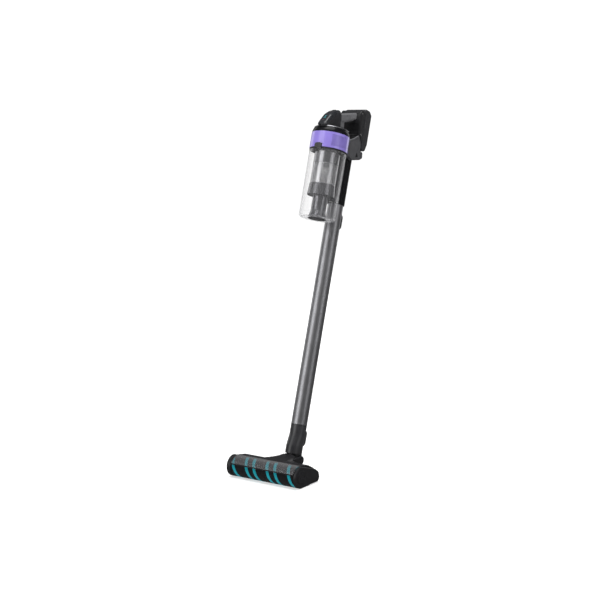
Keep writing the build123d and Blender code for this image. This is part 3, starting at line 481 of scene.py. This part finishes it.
def cell_wall(outer, inner, z_low, z_high, columns, rows, kind, hole):
    """Round wall of square cells about the bin's axis; kind says plain, hole or gap for each."""
    shell = bmesh.new()
    corners = {}
    step = 2 * math.pi / columns
    rise = (z_high - z_low) / rows
    radii = (outer, inner)

    def spot(layer, angle, z):
        return Vector((radii[layer] * math.sin(angle), BIN_Y - radii[layer] * math.cos(angle), z))

    def corner(layer, i, j):
        key = (layer, i % columns, j)
        if key not in corners:
            corners[key] = shell.verts.new(spot(layer, (i % columns) * step, z_low + j * rise))
        return corners[key]

    kinds = {}
    for i in range(columns):
        for j in range(rows):
            kinds[i, j] = kind((i + 0.5) * step, z_low + (j + 0.5) * rise)
    for (i, j), cell in kinds.items():
        if cell == "gap":
            continue
        rings = []
        for layer in (0, 1):
            quad = [corner(layer, i, j), corner(layer, i + 1, j), corner(layer, i + 1, j + 1),
                    corner(layer, i, j + 1)]
            if cell == "plain":
                shell.faces.new(quad)
                continue
            ring = []
            for k in range(HOLE_SIDES):
                turn = math.radians(225 + 360 / HOLE_SIDES * k)
                angle = (i + 0.5) * step + hole * math.cos(turn) / outer
                height = z_low + (j + 0.5) * rise + hole * math.sin(turn)
                ring.append(shell.verts.new(spot(layer, angle, height)))
            for side in range(4):
                arc = [ring[(3 * side + n) % HOLE_SIDES] for n in (3, 2, 1, 0)]
                shell.faces.new([quad[side], quad[(side + 1) % 4]] + arc)
            rings.append(ring)
        if rings:
            for k in range(HOLE_SIDES):
                following = (k + 1) % HOLE_SIDES
                shell.faces.new((rings[0][k], rings[0][following], rings[1][following], rings[1][k]))
        # close the wall beside a gap: step to the neighbour, then the shared side's two corners
        sides = ((0, -1, 0, 0, 1, 0), (1, 0, 1, 0, 1, 1), (0, 1, 1, 1, 0, 1), (-1, 0, 0, 1, 0, 0))
        for di, dj, a, b, c, d in sides:
            if kinds.get(((i + di) % columns, j + dj), "gap") == "gap":
                shell.faces.new((corner(0, i + a, j + b), corner(0, i + c, j + d),
                                 corner(1, i + c, j + d), corner(1, i + a, j + b)))
    return shell


def ring_cell(angle, z):
    """The ring is open at the release button and perforated at each side."""
    turn = abs((angle + math.pi) % (2 * math.pi) - math.pi)
    if turn < BUTTON_GAP and z < BUTTON_TOP:
        return "gap"
    if VENT_FROM < turn < VENT_TO and VENT_LOW < z < VENT_HIGH:
        return "hole"
    return "plain"


def build_ring():
    """Violet ring with its vent holes, and dark bands of painted shade in the gaps above and below it, over its
    floor and behind its holes.
    """
    shell = cell_wall(RING_OUT, RING_IN, RING_LOW, RING_TOP, 108, 14, ring_cell, 1.02)
    piece("separator_ring_vented", shell, "violet_gloss", "main_unit",
          nodes=("separator_ring",))
    shell = bmesh.new()
    # thin dark bands at the ring's lower and upper edges and over its floor: painted shade in the gaps
    for z in (RING_LOW - 0.1, RING_TOP + 0.1):
        lathe(shell, band(RING_IN, RING_OUT - 0.5, z - 0.25, z + 0.25), BIN_Y, 14, 332)
    lathe(shell, band(36.8, RING_IN, RING_LOW + 0.2, RING_LOW + 3), BIN_Y, 14, 332)
    # dark sheet just inside the vent holes: painted shade, so the holes read dark
    lathe(shell, band(54.95, 55.25, 936.0, 973.0), BIN_Y, 20, 320)
    piece("ring_shadow_gaps", shell, "soft_black", "main_unit")


def build_filter_mesh():
    """Perforated metal sleeve of the cyclone, with a bead round each end."""
    shell = cell_wall(MESH_OUT, MESH_IN, MESH_LOW, MESH_TOP, 92, 24, lambda angle, z: "hole", 0.82)
    piece("cyclone_filter_mesh", shell, "mesh", "main_unit", nodes=("cyclone_mesh",))
    shell = bmesh.new()
    for z in (MESH_LOW + 0.4, MESH_TOP - 0.4):
        bead(shell, arc_points(MESH_OUT, z, 0, 356.25, 95), 0.55, 6, closed=True)
    piece("cyclone_mesh_rims", shell, "metal_grey", "main_unit")


# ---- soft roller ----------------------------------------------------------------------------
ROLLER_Z = 31.0
FLEECE_LEFT, FLEECE_RIGHT = -108.4, 114.4
FLEECE_R = 29.9
STRIP_LEAD = 76.0           # travel along the roller in one turn
STRIP_AT = (22.0, 50.0)     # where the strips cross STRIP_TURN
STRIP_TURN = 70             # degrees from the top over the front
STRIP_WIDTH = 10.0
BLADES = 15000


def strip_share(x, turn):
    """How far a spot on the roller lies inside a teal strip: above 0 is inside."""
    nearest = STRIP_LEAD
    for start in STRIP_AT:
        offset = x - start - STRIP_LEAD * (math.degrees(turn) - STRIP_TURN) / 360
        offset = (offset + STRIP_LEAD / 2) % STRIP_LEAD - STRIP_LEAD / 2
        nearest = min(nearest, abs(offset))
    return STRIP_WIDTH / 2 - nearest


def roller_spot(x, turn, radius):
    """Point on the roller; turn runs from the top over the front."""
    return Vector((x, -radius * math.sin(turn), ROLLER_Z + radius * math.cos(turn)))


def build_fleece():
    """Black sleeve with raised helical bands, and a pile of short blades on both."""
    chance = random.Random(11)
    rings = []
    for column in range(91):
        x = FLEECE_LEFT + (FLEECE_RIGHT - FLEECE_LEFT) * column / 90
        rings.append([roller_spot(x, 2 * math.pi * step / 96, FLEECE_R + chance.uniform(-0.25, 0.1))
                      for step in range(96)])
    shell = loft(bmesh.new(), rings)
    strips = bmesh.new()
    for start in STRIP_AT:
        for turns in range(-3, 3):
            add_band(strips, start + STRIP_LEAD * turns, chance)
    for _ in range(BLADES):
        x = chance.uniform(FLEECE_LEFT + 0.4, FLEECE_RIGHT - 0.4)
        turn = chance.uniform(0, 2 * math.pi)
        target = strips if strip_share(x, turn) > 0 else shell
        foot = roller_spot(x, turn, FLEECE_R - 0.1)
        tip = roller_spot(x + chance.uniform(-0.6, 0.6), turn + chance.uniform(-0.01, 0.06),
                          chance.uniform(30.3, 30.95))
        side = Vector([chance.uniform(-1, 1) for _ in range(3)]).normalized() * 0.33
        target.faces.new([target.verts.new(point) for point in (foot - side, foot + side, tip)])
    piece("roller_nap", shell, "fleece", "roller", FLOOR, ("roller_fleece",))
    piece("roller_strips", strips, "teal", "roller", FLOOR)


# a band's section: share of its width, and height over the fleece
BAND_SECTION = ((0.0, -0.3), (0.0, 0.3), (0.3, 0.55), (0.7, 0.55), (1.0, 0.3), (1.0, -0.3))


def add_band(shell, start, chance):
    """One turn of a raised helical band, cut off at the roller's ends."""
    previous = None
    for step in range(145):
        turn = 2 * math.pi * step / 144
        middle = start + STRIP_LEAD * (math.degrees(turn) - STRIP_TURN) / 360
        row = None
        low = max(FLEECE_LEFT + 0.1, middle - STRIP_WIDTH / 2)
        high = min(FLEECE_RIGHT - 0.1, middle + STRIP_WIDTH / 2)
        if high - low > 0.4:
            row = []
            for share, lift in BAND_SECTION:
                radius = FLEECE_R + lift + chance.uniform(-0.08, 0.08)
                row.append(shell.verts.new(roller_spot(low + (high - low) * share, turn, radius)))
        if previous and row:
            for index in range(len(row)):
                after = (index + 1) % len(row)
                shell.faces.new((previous[index], previous[after], row[after], row[index]))
        elif previous:
            shell.faces.new(previous)
        elif row:
            shell.faces.new(row)
        previous = row
    if previous:
        shell.faces.new(previous)


# ---- console, keys and buttons --------------------------------------------------------------
def panel_frame(x, forward):
    """Frame on the lens: Y runs up the slope, Z points out."""
    place, normal = surface_point("display_lens", (x, -forward, 1100), -UP)
    up = normal.cross(Vector((1, 0, 0))).normalized()
    across = up.cross(normal).normalized()
    return Matrix.Translation(place) @ Matrix((across, up, normal)).transposed().to_4x4()


def build_display():
    """Battery level bars and two plain warning lights."""
    shell = bmesh.new()
    for index in range(3):
        size = (8.0 - 1.2 * index, 1.3, 0.5)
        pad(shell, panel_frame(-1.0, 134.5 - 3.0 * index), (0, 0, 0), size, 0.2)
    piece("display_level_lights", shell, "lamp_teal", "main_unit")
    shell = bmesh.new()
    for x in (-2.6, 2.0):
        pad(shell, panel_frame(x, 140.5), (0, 0, 0), (3.0, 1.1, 0.5), 0.2)
    piece("display_warning_lights", shell, "lamp_rose", "main_unit")


KEY_TOP = 1.22


def key_frame(forward, height, tilt):
    """Frame of a console key, Z out of the console."""
    place = Matrix.Translation(Vector((0, -forward, height)))
    return place @ Matrix.Rotation(math.radians(tilt), 4, "X")


def key_stroke(shell, here, ends, radius):
    """Raised line on a key's top between (x, y) places in its frame."""
    bead(shell, [here @ Vector((*end, KEY_TOP)) for end in ends], radius, 6)


def build_key_marks():
    """A plain power sign on one key, a plus and a minus on the other."""
    here = key_frame(92.5, 1056.9, 24.0)
    shell = bmesh.new()
    turns = [math.radians(125 + 290 * step / 24) for step in range(25)]
    key_stroke(shell, here, [(2.3 * math.cos(turn), 2.3 * math.sin(turn)) for turn in turns], 0.28)
    key_stroke(shell, here, [(0, 0.6), (0, 3.0)], 0.28)
    piece("power_key_mark", shell, "white_nylon", "power_button")
    here = key_frame(108.0, 1048.3, 34.0)
    shell = bmesh.new()
    for ends in ([(-1.5, 1.9), (1.5, 1.9)], [(0, 0.4), (0, 3.4)], [(-1.5, -2.0), (1.5, -2.0)]):
        key_stroke(shell, here, ends, 0.26)
    piece("mode_key_mark", shell, "white_nylon", "mode_button")


def build_button_ribs():
    """Grip ribs on the two rear release buttons and on the bin's button."""
    for name, node, body, middle in (("tube_button_ribs", "tube_button", "tube_latch", 735.5),
                                     ("neck_button_ribs", "neck_button", "neck_latch", 66.0)):
        shell = bmesh.new()
        for index in range(5):
            half = 8.5 - abs(index - 2) * 0.9
            height = middle + 10 - 4.2 * index
            surface_rib(shell, node, half, 8, (80, height), (0, -1, 0), -0.15, 0.55)
        piece(name, shell, "key", body)
    shell = bmesh.new()
    for index in range(3):
        height = 930.6 + 3.0 * index
        surface_rib(shell, "bin_release_button", 6.5, 8, (-200, height), (0, 1, 0), -0.12, 0.42)
    piece("bin_button_ribs", shell, "key", "bin_button")


# ---- dust bin -------------------------------------------------------------------------------
CUP_LOW, CUP_HIGH = 724.0, 925.6
CUP_LOW_R, CUP_HIGH_R = 55.8, 57.0


def cup_radius(height):
    """Outer radius of the tapered cup."""
    return CUP_LOW_R + (CUP_HIGH_R - CUP_LOW_R) * (height - CUP_LOW) / (CUP_HIGH - CUP_LOW)


def build_bin_details():
    """Fill marks, the beads round the cup, and the ribs and rings under its floor."""
    shell = bmesh.new()
    for side in (-1, 1):
        for index in range(3):
            start, stop = side * (66 + 4.4 * index), side * (69 + 4.4 * index)
            bead(shell, arc_points(cup_radius(770) + 0.05, 770, start, stop, 5), 0.32, 5)
    piece("bin_fill_marks", shell, "white_nylon", "dust_bin")
    shell = bmesh.new()
    bead(shell, arc_points(cup_radius(733) + 0.1, 733.0, 0, 357, 119), 0.55, 6, closed=True)
    bead(shell, arc_points(cup_radius(922) + 0.05, 922.0, 22, 338, 100), 0.45, 6)
    piece("bin_cup_beads", shell, "clear", "dust_bin")
    shell = bmesh.new()
    for index in range(12):
        ends = [arc_points(radius, 719.6, 30 * index, 30 * index, 1)[0] for radius in (29.5, 50.5)]
        bead(shell, ends, 0.5, 6)
    piece("bin_floor_ribs", shell, "clear", "dust_bin")
    shell = bmesh.new()
    lathe(shell, band(7.0, 24.0, 718.0, 718.6), BIN_Y, steps=72)
    lathe(shell, [(5.2, 717.9), (5.2, 718.6), (0.5, 718.6), (0.5, 717.7)], BIN_Y, steps=36)
    piece("bin_foot_rings", shell, "metal_grey", "dust_bin")


# ---- handle, housing and battery ------------------------------------------------------------
SEAM_LIFT = 0.1
HOUSING_SIDE, CRADLE_SIDE = 36.85, 37.88
CAVITY_RIM = (35.7, 28, 20.1, 9.6, 2.5, -4, -9.6)       # forward places along the dished deck
# corners as (forward, height)
RECESS = ((-8.5, 938.5), (-22.5, 942.0), (-12.5, 957.5))
HOUSING_SEAM = ((-2, 930.6), (-34, 941.6), (-43.5, 948.0), (-41.0, 959.8), (-26.5, 960.5),
                (-25.0, 984.5), (-12, 1001.0), (10.5, 986.0), (30, 977.0), (30, 936.0), (22, 936.0))
CRADLE_SEAM = ((-25.6, 992), (-14.6, 1011.0), (-12.6, 1023), (-4.0, 1054.6), (-2.0, 1074),
               (-8.0, 1083.6), (-20.4, 1084.2))


def side_outline(x, outline, radius, steps=5):
    """Rounded outline of (forward, height) corners on a side face."""
    return [Vector((x, -point.x, point.y)) for point in rounded_outline(outline, radius, steps)]


def side_seams(name, half, outline, radius):
    """The same dark seam round both sides of the main unit."""
    shell = bmesh.new()
    for side in (-1, 1):
        points = side_outline(side * (half + SEAM_LIFT), outline, radius, 4)
        bead(shell, points, 0.28, 5, closed=True)
    piece(name, shell, "soft_black", "main_unit")


def surface_rows(node, places, direction, lift):
    """Rows of points that lie over a CAD node."""
    rows = []
    for row in places:
        hits = [surface_point(node, place, direction) for place in row]
        rows.append([spot + normal * lift for spot, normal in hits])
    return rows


def build_housing_details():
    """Painted highlight along the dished deck's rims, painted shade over the deck and in the side recesses, and
    seams.
    """
    # a light bead along each rim of the dished deck: a painted highlight where the edge catches the top light
    shell = bmesh.new()
    for side in (-1, 1):
        points = []
        for forward in CAVITY_RIM:
            spot, _ = surface_point("motor_housing", (side * 34.2, -forward, 1060), -UP)
            points.append(spot + Vector((side * 0.9, 0, -0.1)))
        bead(shell, points, 0.85, 8)
    piece("housing_rim_highlights", shell, "painted_highlight_grey", "main_unit")
    # a dark sheet over the deck under the grip: painted shade in the hollow
    places = [[(across * 5.1, 3.0 * step - 27.0, 1060) for across in range(-6, 7)]
              for step in range(13)]
    shell = bmesh.new()
    thin_sheet(shell, surface_rows("motor_housing", places, -UP, 0.5), Vector((0, 0, -0.9)))
    piece("housing_deck_shade", shell, "soft_black", "main_unit")
    # flat dark plates over the side recesses: painted shade inside them
    shell = bmesh.new()
    for side in (-1, 1):
        points = side_outline(side * HOUSING_SIDE, RECESS, 1.6)
        outline_plate(shell, points, Vector((side * 0.35, 0, 0)), 0.12)
    piece("housing_recess_shade", shell, "soft_black", "main_unit")
    side_seams("housing_side_seams", HOUSING_SIDE, HOUSING_SEAM, 4.0)


def build_cradle_details():
    """Cross-head screws, a seam round each side, and a dark sheet of painted shade on the front wall under the
    grip.
    """
    shell = bmesh.new()
    for side in (-1, 1):
        for forward, height in ((-17.5, 1012.0), (-8.5, 1076.0)):
            spot, normal = surface_point("battery_cradle", (side * 80, -forward, height), (-side, 0, 0))
            here = Matrix.Translation(spot) @ UP.rotation_difference(normal).to_matrix().to_4x4()
            turns = [step * math.pi / 12 for step in range(24)]
            ring = [here @ Vector((2.1 * math.cos(t), 2.1 * math.sin(t), 0.02)) for t in turns]
            bead(shell, ring, 0.3, 6, closed=True)
            for turn in (0, math.pi / 2):
                pad(shell, here, (0, 0, 0.02), (2.2, 0.5, 0.3), 0.1, turn)
    piece("cradle_screws", shell, "steel", "main_unit")
    side_seams("cradle_side_seams", CRADLE_SIDE, CRADLE_SEAM, 2.5)
    # dark sheet over the front wall below the grip: painted shade
    places = [[(across * 4.0, -60, 1013.0 + 34.0 * step / 14) for across in range(-8, 9)]
              for step in range(15)]
    shell = bmesh.new()
    thin_sheet(shell, surface_rows("battery_cradle", places, (0, 1, 0), 0.35), Vector((0, 0.7, 0)))
    piece("cradle_front_shade", shell, "soft_black", "main_unit")


def build_battery_details():
    """Ribs and a blank plate's edge on the battery's back, and ribs on its latches."""
    shell = bmesh.new()
    for index in range(7):
        height = 1052.0 + 4.6 * index
        surface_rib(shell, "battery_case", 24.0, 12, (120, height), (0, -1, 0), -0.15, 0.6)
    piece("battery_back_ribs", shell, "dark_shell", "battery")
    shell = bmesh.new()
    corners = ((-22, 1004), (22, 1004), (22, 1038), (-22, 1038))
    places = [(point.x, 120, point.y) for point in rounded_outline(corners, 3.0)]
    points = surface_rows("battery_case", [places], (0, -1, 0), 0.02)[0]
    bead(shell, points, 0.35, 6, closed=True)
    piece("battery_plate_edge", shell, "soft_black", "battery")
    for side, name, body in ((-1, "battery_latch_ribs_left", "battery_latch_l"),
                             (1, "battery_latch_ribs_right", "battery_latch_r")):
        shell = bmesh.new()
        for index in range(5):
            centre = (side * 38.9, 33.5, 1041.0 + 2.5 * index)
            pad(shell, Matrix.Identity(4), centre, (0.7, 4.4, 0.9), 0.3)
        piece(name, shell, "key", body)


def build_grip_details():
    """Centre seam over the grip and soft finger ribs under it."""
    shell = bmesh.new()
    points = []
    for step in range(21):
        forward = 66.0 - 64.0 * step / 20
        spot, normal = surface_point("grip_shell_right", (0.4, -forward, 1120), -UP)
        spot.x = 0.0
        points.append(spot + normal * -0.12)
    bead(shell, points, 0.32, 6)
    piece("grip_centre_seam", shell, "soft_black", "main_unit")
    shell = bmesh.new()
    for index in range(9):
        forward = 40.0 - 4.4 * index
        points = []
        for step in range(9):
            x = -7.0 + 14.0 * step / 8
            # both halves follow the right shell, because the two mirror each other
            spot, _ = surface_point("grip_shell_right", (max(abs(x), 0.3), -forward, 1010), UP)
            spot.x = math.copysign(abs(spot.x), x)
            points.append(spot + UP * 0.15)
        bead(shell, points, 0.6, 6)
    piece("grip_finger_ribs", shell, "soft_black", "main_unit")


# ---- neck, tube and head --------------------------------------------------------------------
def neck_edge(angle, inset):
    """Point on the neck's raised lower edge; the angle is from the front."""
    x = (24.0 - inset) * math.sin(angle)
    y = -4.5 - (28.5 - inset) * math.cos(angle)
    ramp = min(1.0, max(0.0, (y + 6.0) / 15.0))
    smooth = ramp * ramp * (3 - 2 * ramp)
    return Vector((x, y, 16.5 - 7.9 * smooth))


def build_neck_details():
    """Painted shadow line and a dark cuff under the neck's sweeping edge, and the seam and bands of the tube's
    ends.
    """
    # dark bead just under the raised edge: a painted shadow line
    shell = bmesh.new()
    points = [neck_edge(2 * math.pi * step / 96, 1.1) - UP * 0.15 for step in range(96)]
    bead(shell, points, 0.75, 8, closed=True)
    piece("neck_edge_shadow_line", shell, "soft_black", "neck")
    shell = bmesh.new()
    profile = [(21.9, 8.9), (23.2, 8.7), (23.9, 9.4), (23.9, 16.9), (21.9, 16.9)]
    lathe(shell, profile, 0.0, -112, 224, 72)
    piece("neck_cuff", shell, "head_plastic", "neck")
    shell = bmesh.new()
    lathe(shell, [(23.6, 103.9), (24.12, 104.0), (24.12, 104.6), (23.6, 104.7)])
    piece("neck_top_seam", shell, "soft_black", "neck")
    shell = bmesh.new()
    lathe(shell, [(23.2, 783.2), (24.15, 783.2), (24.15, 784.0), (23.2, 784.0)])
    lathe(shell, [(23.2, 105.0), (24.12, 105.0), (24.12, 108.0), (23.2, 108.0)])
    piece("tube_end_bands", shell, "tube_metal", "stick")


# (depth, height) along the top of the head's rear casing
CASING = ((10, 64.0), (44, 58.6), (72, 43.5), (87.5, 29.0), (88.5, 20.0))


def casing_height(y):
    """Top of the head's rear casing at a depth."""
    for (y0, z0), (y1, z1) in zip(CASING, CASING[1:]):
        if y <= y1:
            return z0 + (z1 - z0) * (y - y0) / (y1 - y0)
    return CASING[-1][1]


# (depth, half width, height) of the cover's sections
FAIRING_STATIONS = ((14.0, 58.0, 63.7), (22.0, 52.0, 63.2), (32.0, 46.0, 62.6), (44.0, 41.0, 62.2),
                    (60.0, 37.5, 61.9), (78.0, 36.0, 61.3), (92.0, 35.0, 60.2), (101.0, 34.0, 58.9),
                    (106.0, 33.0, 57.6), (109.0, 31.5, 55.8))
FAIRING_BASE = 19.6
FAIRING_ROUND = 0.77        # below 1 the section is fuller than an ellipse


def build_fairing():
    """Sculpted cover that rises out of the head and runs back to the neck."""
    rings = []
    for y, half, top in FAIRING_STATIONS:
        base = max(FAIRING_BASE, casing_height(y) - 4.0)
        ring = []
        for step in range(33):
            turn = math.pi * step / 32
            across, up = math.cos(turn), math.sin(turn)
            x = half * math.copysign(abs(across) ** FAIRING_ROUND, across)
            ring.append(Vector((x, y, base + (top - base) * abs(up) ** FAIRING_ROUND)))
        ring += [Vector((-half * 0.6, y, base - 0.5)), Vector((half * 0.6, y, base - 0.5))]
        rings.append(ring)
    shell = loft(bmesh.new(), rings)
    piece("fairing_cover", shell, "head_plastic", "head", FLOOR)


def window_point(x, degrees, radius):
    """Point on the window's curve; the angle is above the horizontal, from the front."""
    angle = math.radians(degrees)
    return Vector((x, -radius * math.cos(angle), ROLLER_Z + radius * math.sin(angle)))


WINDOW_ENDS = (-110.8, 116.8)
WINDOW_OUT, WINDOW_IN = 34.0, 32.45


def window_section(ends, degrees, outer, inner):
    """Four corners of the window's section, or of the dark strip along its lip, at an angle."""
    left, right = ends
    return [window_point(left, degrees, outer), window_point(right, degrees, outer),
            window_point(right, degrees, inner), window_point(left, degrees, inner)]


def build_window():
    """Clear curved cover, a dark strip of painted shade along its lip, and a dark border at each end."""
    rings = []
    for step in range(33):
        degrees = 20.6 + (106.2 - 20.6) * step / 32
        rings.append(window_section(WINDOW_ENDS, degrees, WINDOW_OUT, WINDOW_IN))
    piece("window_panel", loft(bmesh.new(), rings), "window_clear", "head", FLOOR,
          ("head_window",))
    # dark strip round the window's lower lip: painted shade under the rim
    lip_shade = ((20.5, 33.7, 32.6), (20.9, 34.0, 32.25), (24.2, 34.1, 32.25), (26.6, 34.1, 33.9))
    rings = [window_section(WINDOW_ENDS, *station) for station in lip_shade]
    piece("window_lip_shade", loft(bmesh.new(), rings), "soft_black", "head", FLOOR)
    left, right = WINDOW_ENDS
    shell = bmesh.new()
    for ends in ((left, left + 2.2), (right - 2.2, right)):
        rings = []
        for step in range(25):
            degrees = 24.0 + (104.0 - 24.0) * step / 24
            rings.append(window_section(ends, degrees, 34.12, 33.9))
        loft(shell, rings)
    piece("window_borders", shell, "soft_black", "head", FLOOR)


def build_head_details():
    """Seam over the window, rings on the head's ends, pivot caps and rear ribs."""
    shell = bmesh.new()
    bead(shell, [Vector((-110.6, 10.0, 64.1)), Vector((116.6, 10.0, 64.1))], 0.5, 6)
    piece("window_top_seam", shell, "soft_black", "head", FLOOR)
    shell = bmesh.new()
    for radius in (20.3, 29.4):
        for x in (124.7, -124.7):
            points = []
            for step in range(72):
                turn = 2 * math.pi * step / 72
                points.append(Vector((x, radius * math.cos(turn), 32.3 + radius * math.sin(turn))))
            bead(shell, points, 0.24, 5, closed=True)
    piece("end_rings", shell, "soft_black", "head", FLOOR)
    shell = bmesh.new()
    _, pivot_y, pivot_z = FLOOR.inverted() @ UPRIGHT @ Vector((0, 0, 0))
    for side in (-1, 1):
        pad(shell, Matrix.Identity(4), (side * 30.55, pivot_y, pivot_z), (0.9, 11.0, 11.0), 0.4)
    piece("pivot_caps", shell, "head_plastic", "head", FLOOR)
    shell = bmesh.new()
    for x in (-60, -30, 36, 66):
        for index in range(4):
            centre = (x, 87.0 - 0.08 * index, 28.0 - 4.0 * index)
            pad(shell, Matrix.Identity(4), centre, (22, 2.2, 1.3), 0.5)
    piece("casing_rear_ribs", shell, "head_plastic", "head", FLOOR)


# ---- studio ---------------------------------------------------------------------------------
STAGE_SIZE = 9.0
COVE_RADIUS = 2.0
STAGE_STEPS = 96
CAMERA_PLACE = (2.127, -3.1027, 1.033)
CAMERA_YAW = 35.02
CAMERA_PITCH = 7.92
CAMERA_LENS = 75.44
LIGHT_TARGET = Vector((0, 0, 0.6))
# name, place, width and height, power
LIGHTS = (
    ("key_light", (-1.35, -3.6, 1.7), (2.6, 3.2), 58),
    ("side_light", (3.7, -0.1, 1.6), (1.6, 3.2), 20),
    ("top_light", (0.3, -0.6, 3.4), (2.2, 2.2), 104),
    ("rear_light", (0.3, 4.2, 1.7), (2.4, 3.0), 24),
    ("far_light", (-3.9, 0.8, 1.7), (2.2, 3.0), 24),
    ("rear_fill", (-1.0, 4.0, 2.6), (3.0, 3.0), 40),
)


def stage_object(name, profile, glow, base, filled=False):
    """White round floor or wall whose glow rises to 1 with distance; filled closes its first ring."""
    mesh = bpy.data.meshes.new(name)
    shell = bmesh.new()
    turns = [2 * math.pi * step / STAGE_STEPS for step in range(STAGE_STEPS)]
    rings = []
    for radius, height in profile:
        rings.append([shell.verts.new((radius * math.cos(turn), radius * math.sin(turn), height))
                      for turn in turns])
    for low, high in zip(rings, rings[1:]):
        for index in range(STAGE_STEPS):
            after = (index + 1) % STAGE_STEPS
            face = shell.faces.new((low[index], low[after], high[after], high[index]))
            face.smooth = True
    if filled:
        shell.faces.new(rings[0])
    shell.to_mesh(mesh)
    item = bpy.data.objects.new(name, mesh)
    bpy.context.collection.objects.link(item)
    material, nodes, links, shader = new_material(name)
    shader.inputs["Base Color"].default_value = (base, base, base, 1)
    shader.inputs["Roughness"].default_value = 0.8
    shader.inputs["Specular IOR Level"].default_value = 0.1
    shader.inputs["Emission Color"].default_value = (1, 1, 1, 1)
    place = nodes.new("ShaderNodeNewGeometry")
    length = nodes.new("ShaderNodeVectorMath")
    length.operation = "LENGTH"
    links.new(place.outputs["Position"], length.inputs[0])
    strength = remap(nodes, links, length.outputs["Value"], glow, 1.0, 1.0, 3.5)
    links.new(strength, shader.inputs["Emission Strength"])
    item.data.materials.append(material)
    item.visible_glossy = False
    return item


def floor_and_backdrop():
    """Pale floor, and a white wall all round that curves up from it."""
    stage_object("floor", [(0.6, 0.0), (STAGE_SIZE, 0.0)], 0.56, 0.75, filled=True)
    cove = []
    for step in range(13):
        turn = math.radians(90 * step / 12)
        cove.append((STAGE_SIZE - COVE_RADIUS + COVE_RADIUS * math.sin(turn),
                     COVE_RADIUS - COVE_RADIUS * math.cos(turn) + 0.002))
    cove.append((STAGE_SIZE, STAGE_SIZE))
    wall = stage_object("backdrop", cove, 1.0, 0.2)
    wall.visible_diffuse = False


def area_light(name, place, size, power):
    """Soft rectangular light aimed at the middle of the object."""
    data = bpy.data.lights.new(name, "AREA")
    data.shape = "RECTANGLE"
    data.size, data.size_y = size
    data.energy = power
    light = bpy.data.objects.new(name, data)
    bpy.context.collection.objects.link(light)
    light.location = place
    light.rotation_euler = (LIGHT_TARGET - Vector(place)).to_track_quat("-Z", "Y").to_euler()
    # the fill lights the dark back without a second highlight on it
    light.visible_glossy = name != "rear_fill"


def studio():
    """Dim white world, soft lights all round, and the camera."""
    world = bpy.data.worlds.new("studio")
    bpy.context.scene.world = world
    world.use_nodes = True
    background = world.node_tree.nodes["Background"]
    background.inputs["Color"].default_value = (1, 1, 1, 1)
    background.inputs["Strength"].default_value = 0.11
    for light in LIGHTS:
        area_light(*light)
    data = bpy.data.cameras.new("camera")
    data.lens = CAMERA_LENS
    data.sensor_width = 36.0
    data.clip_end = 50
    camera = bpy.data.objects.new("camera", data)
    bpy.context.collection.objects.link(camera)
    camera.location = CAMERA_PLACE
    camera.rotation_euler = (math.radians(90 - CAMERA_PITCH), 0, math.radians(CAMERA_YAW))
    bpy.context.scene.camera = camera
    bpy.context.scene.view_settings.view_transform = "Standard"


paint_cad_nodes()
build_ring()
build_filter_mesh()
build_fleece()
build_display()
build_key_marks()
build_button_ribs()
build_bin_details()
build_housing_details()
build_cradle_details()
build_battery_details()
build_grip_details()
build_neck_details()
build_fairing()
build_window()
build_head_details()
floor_and_backdrop()
studio()
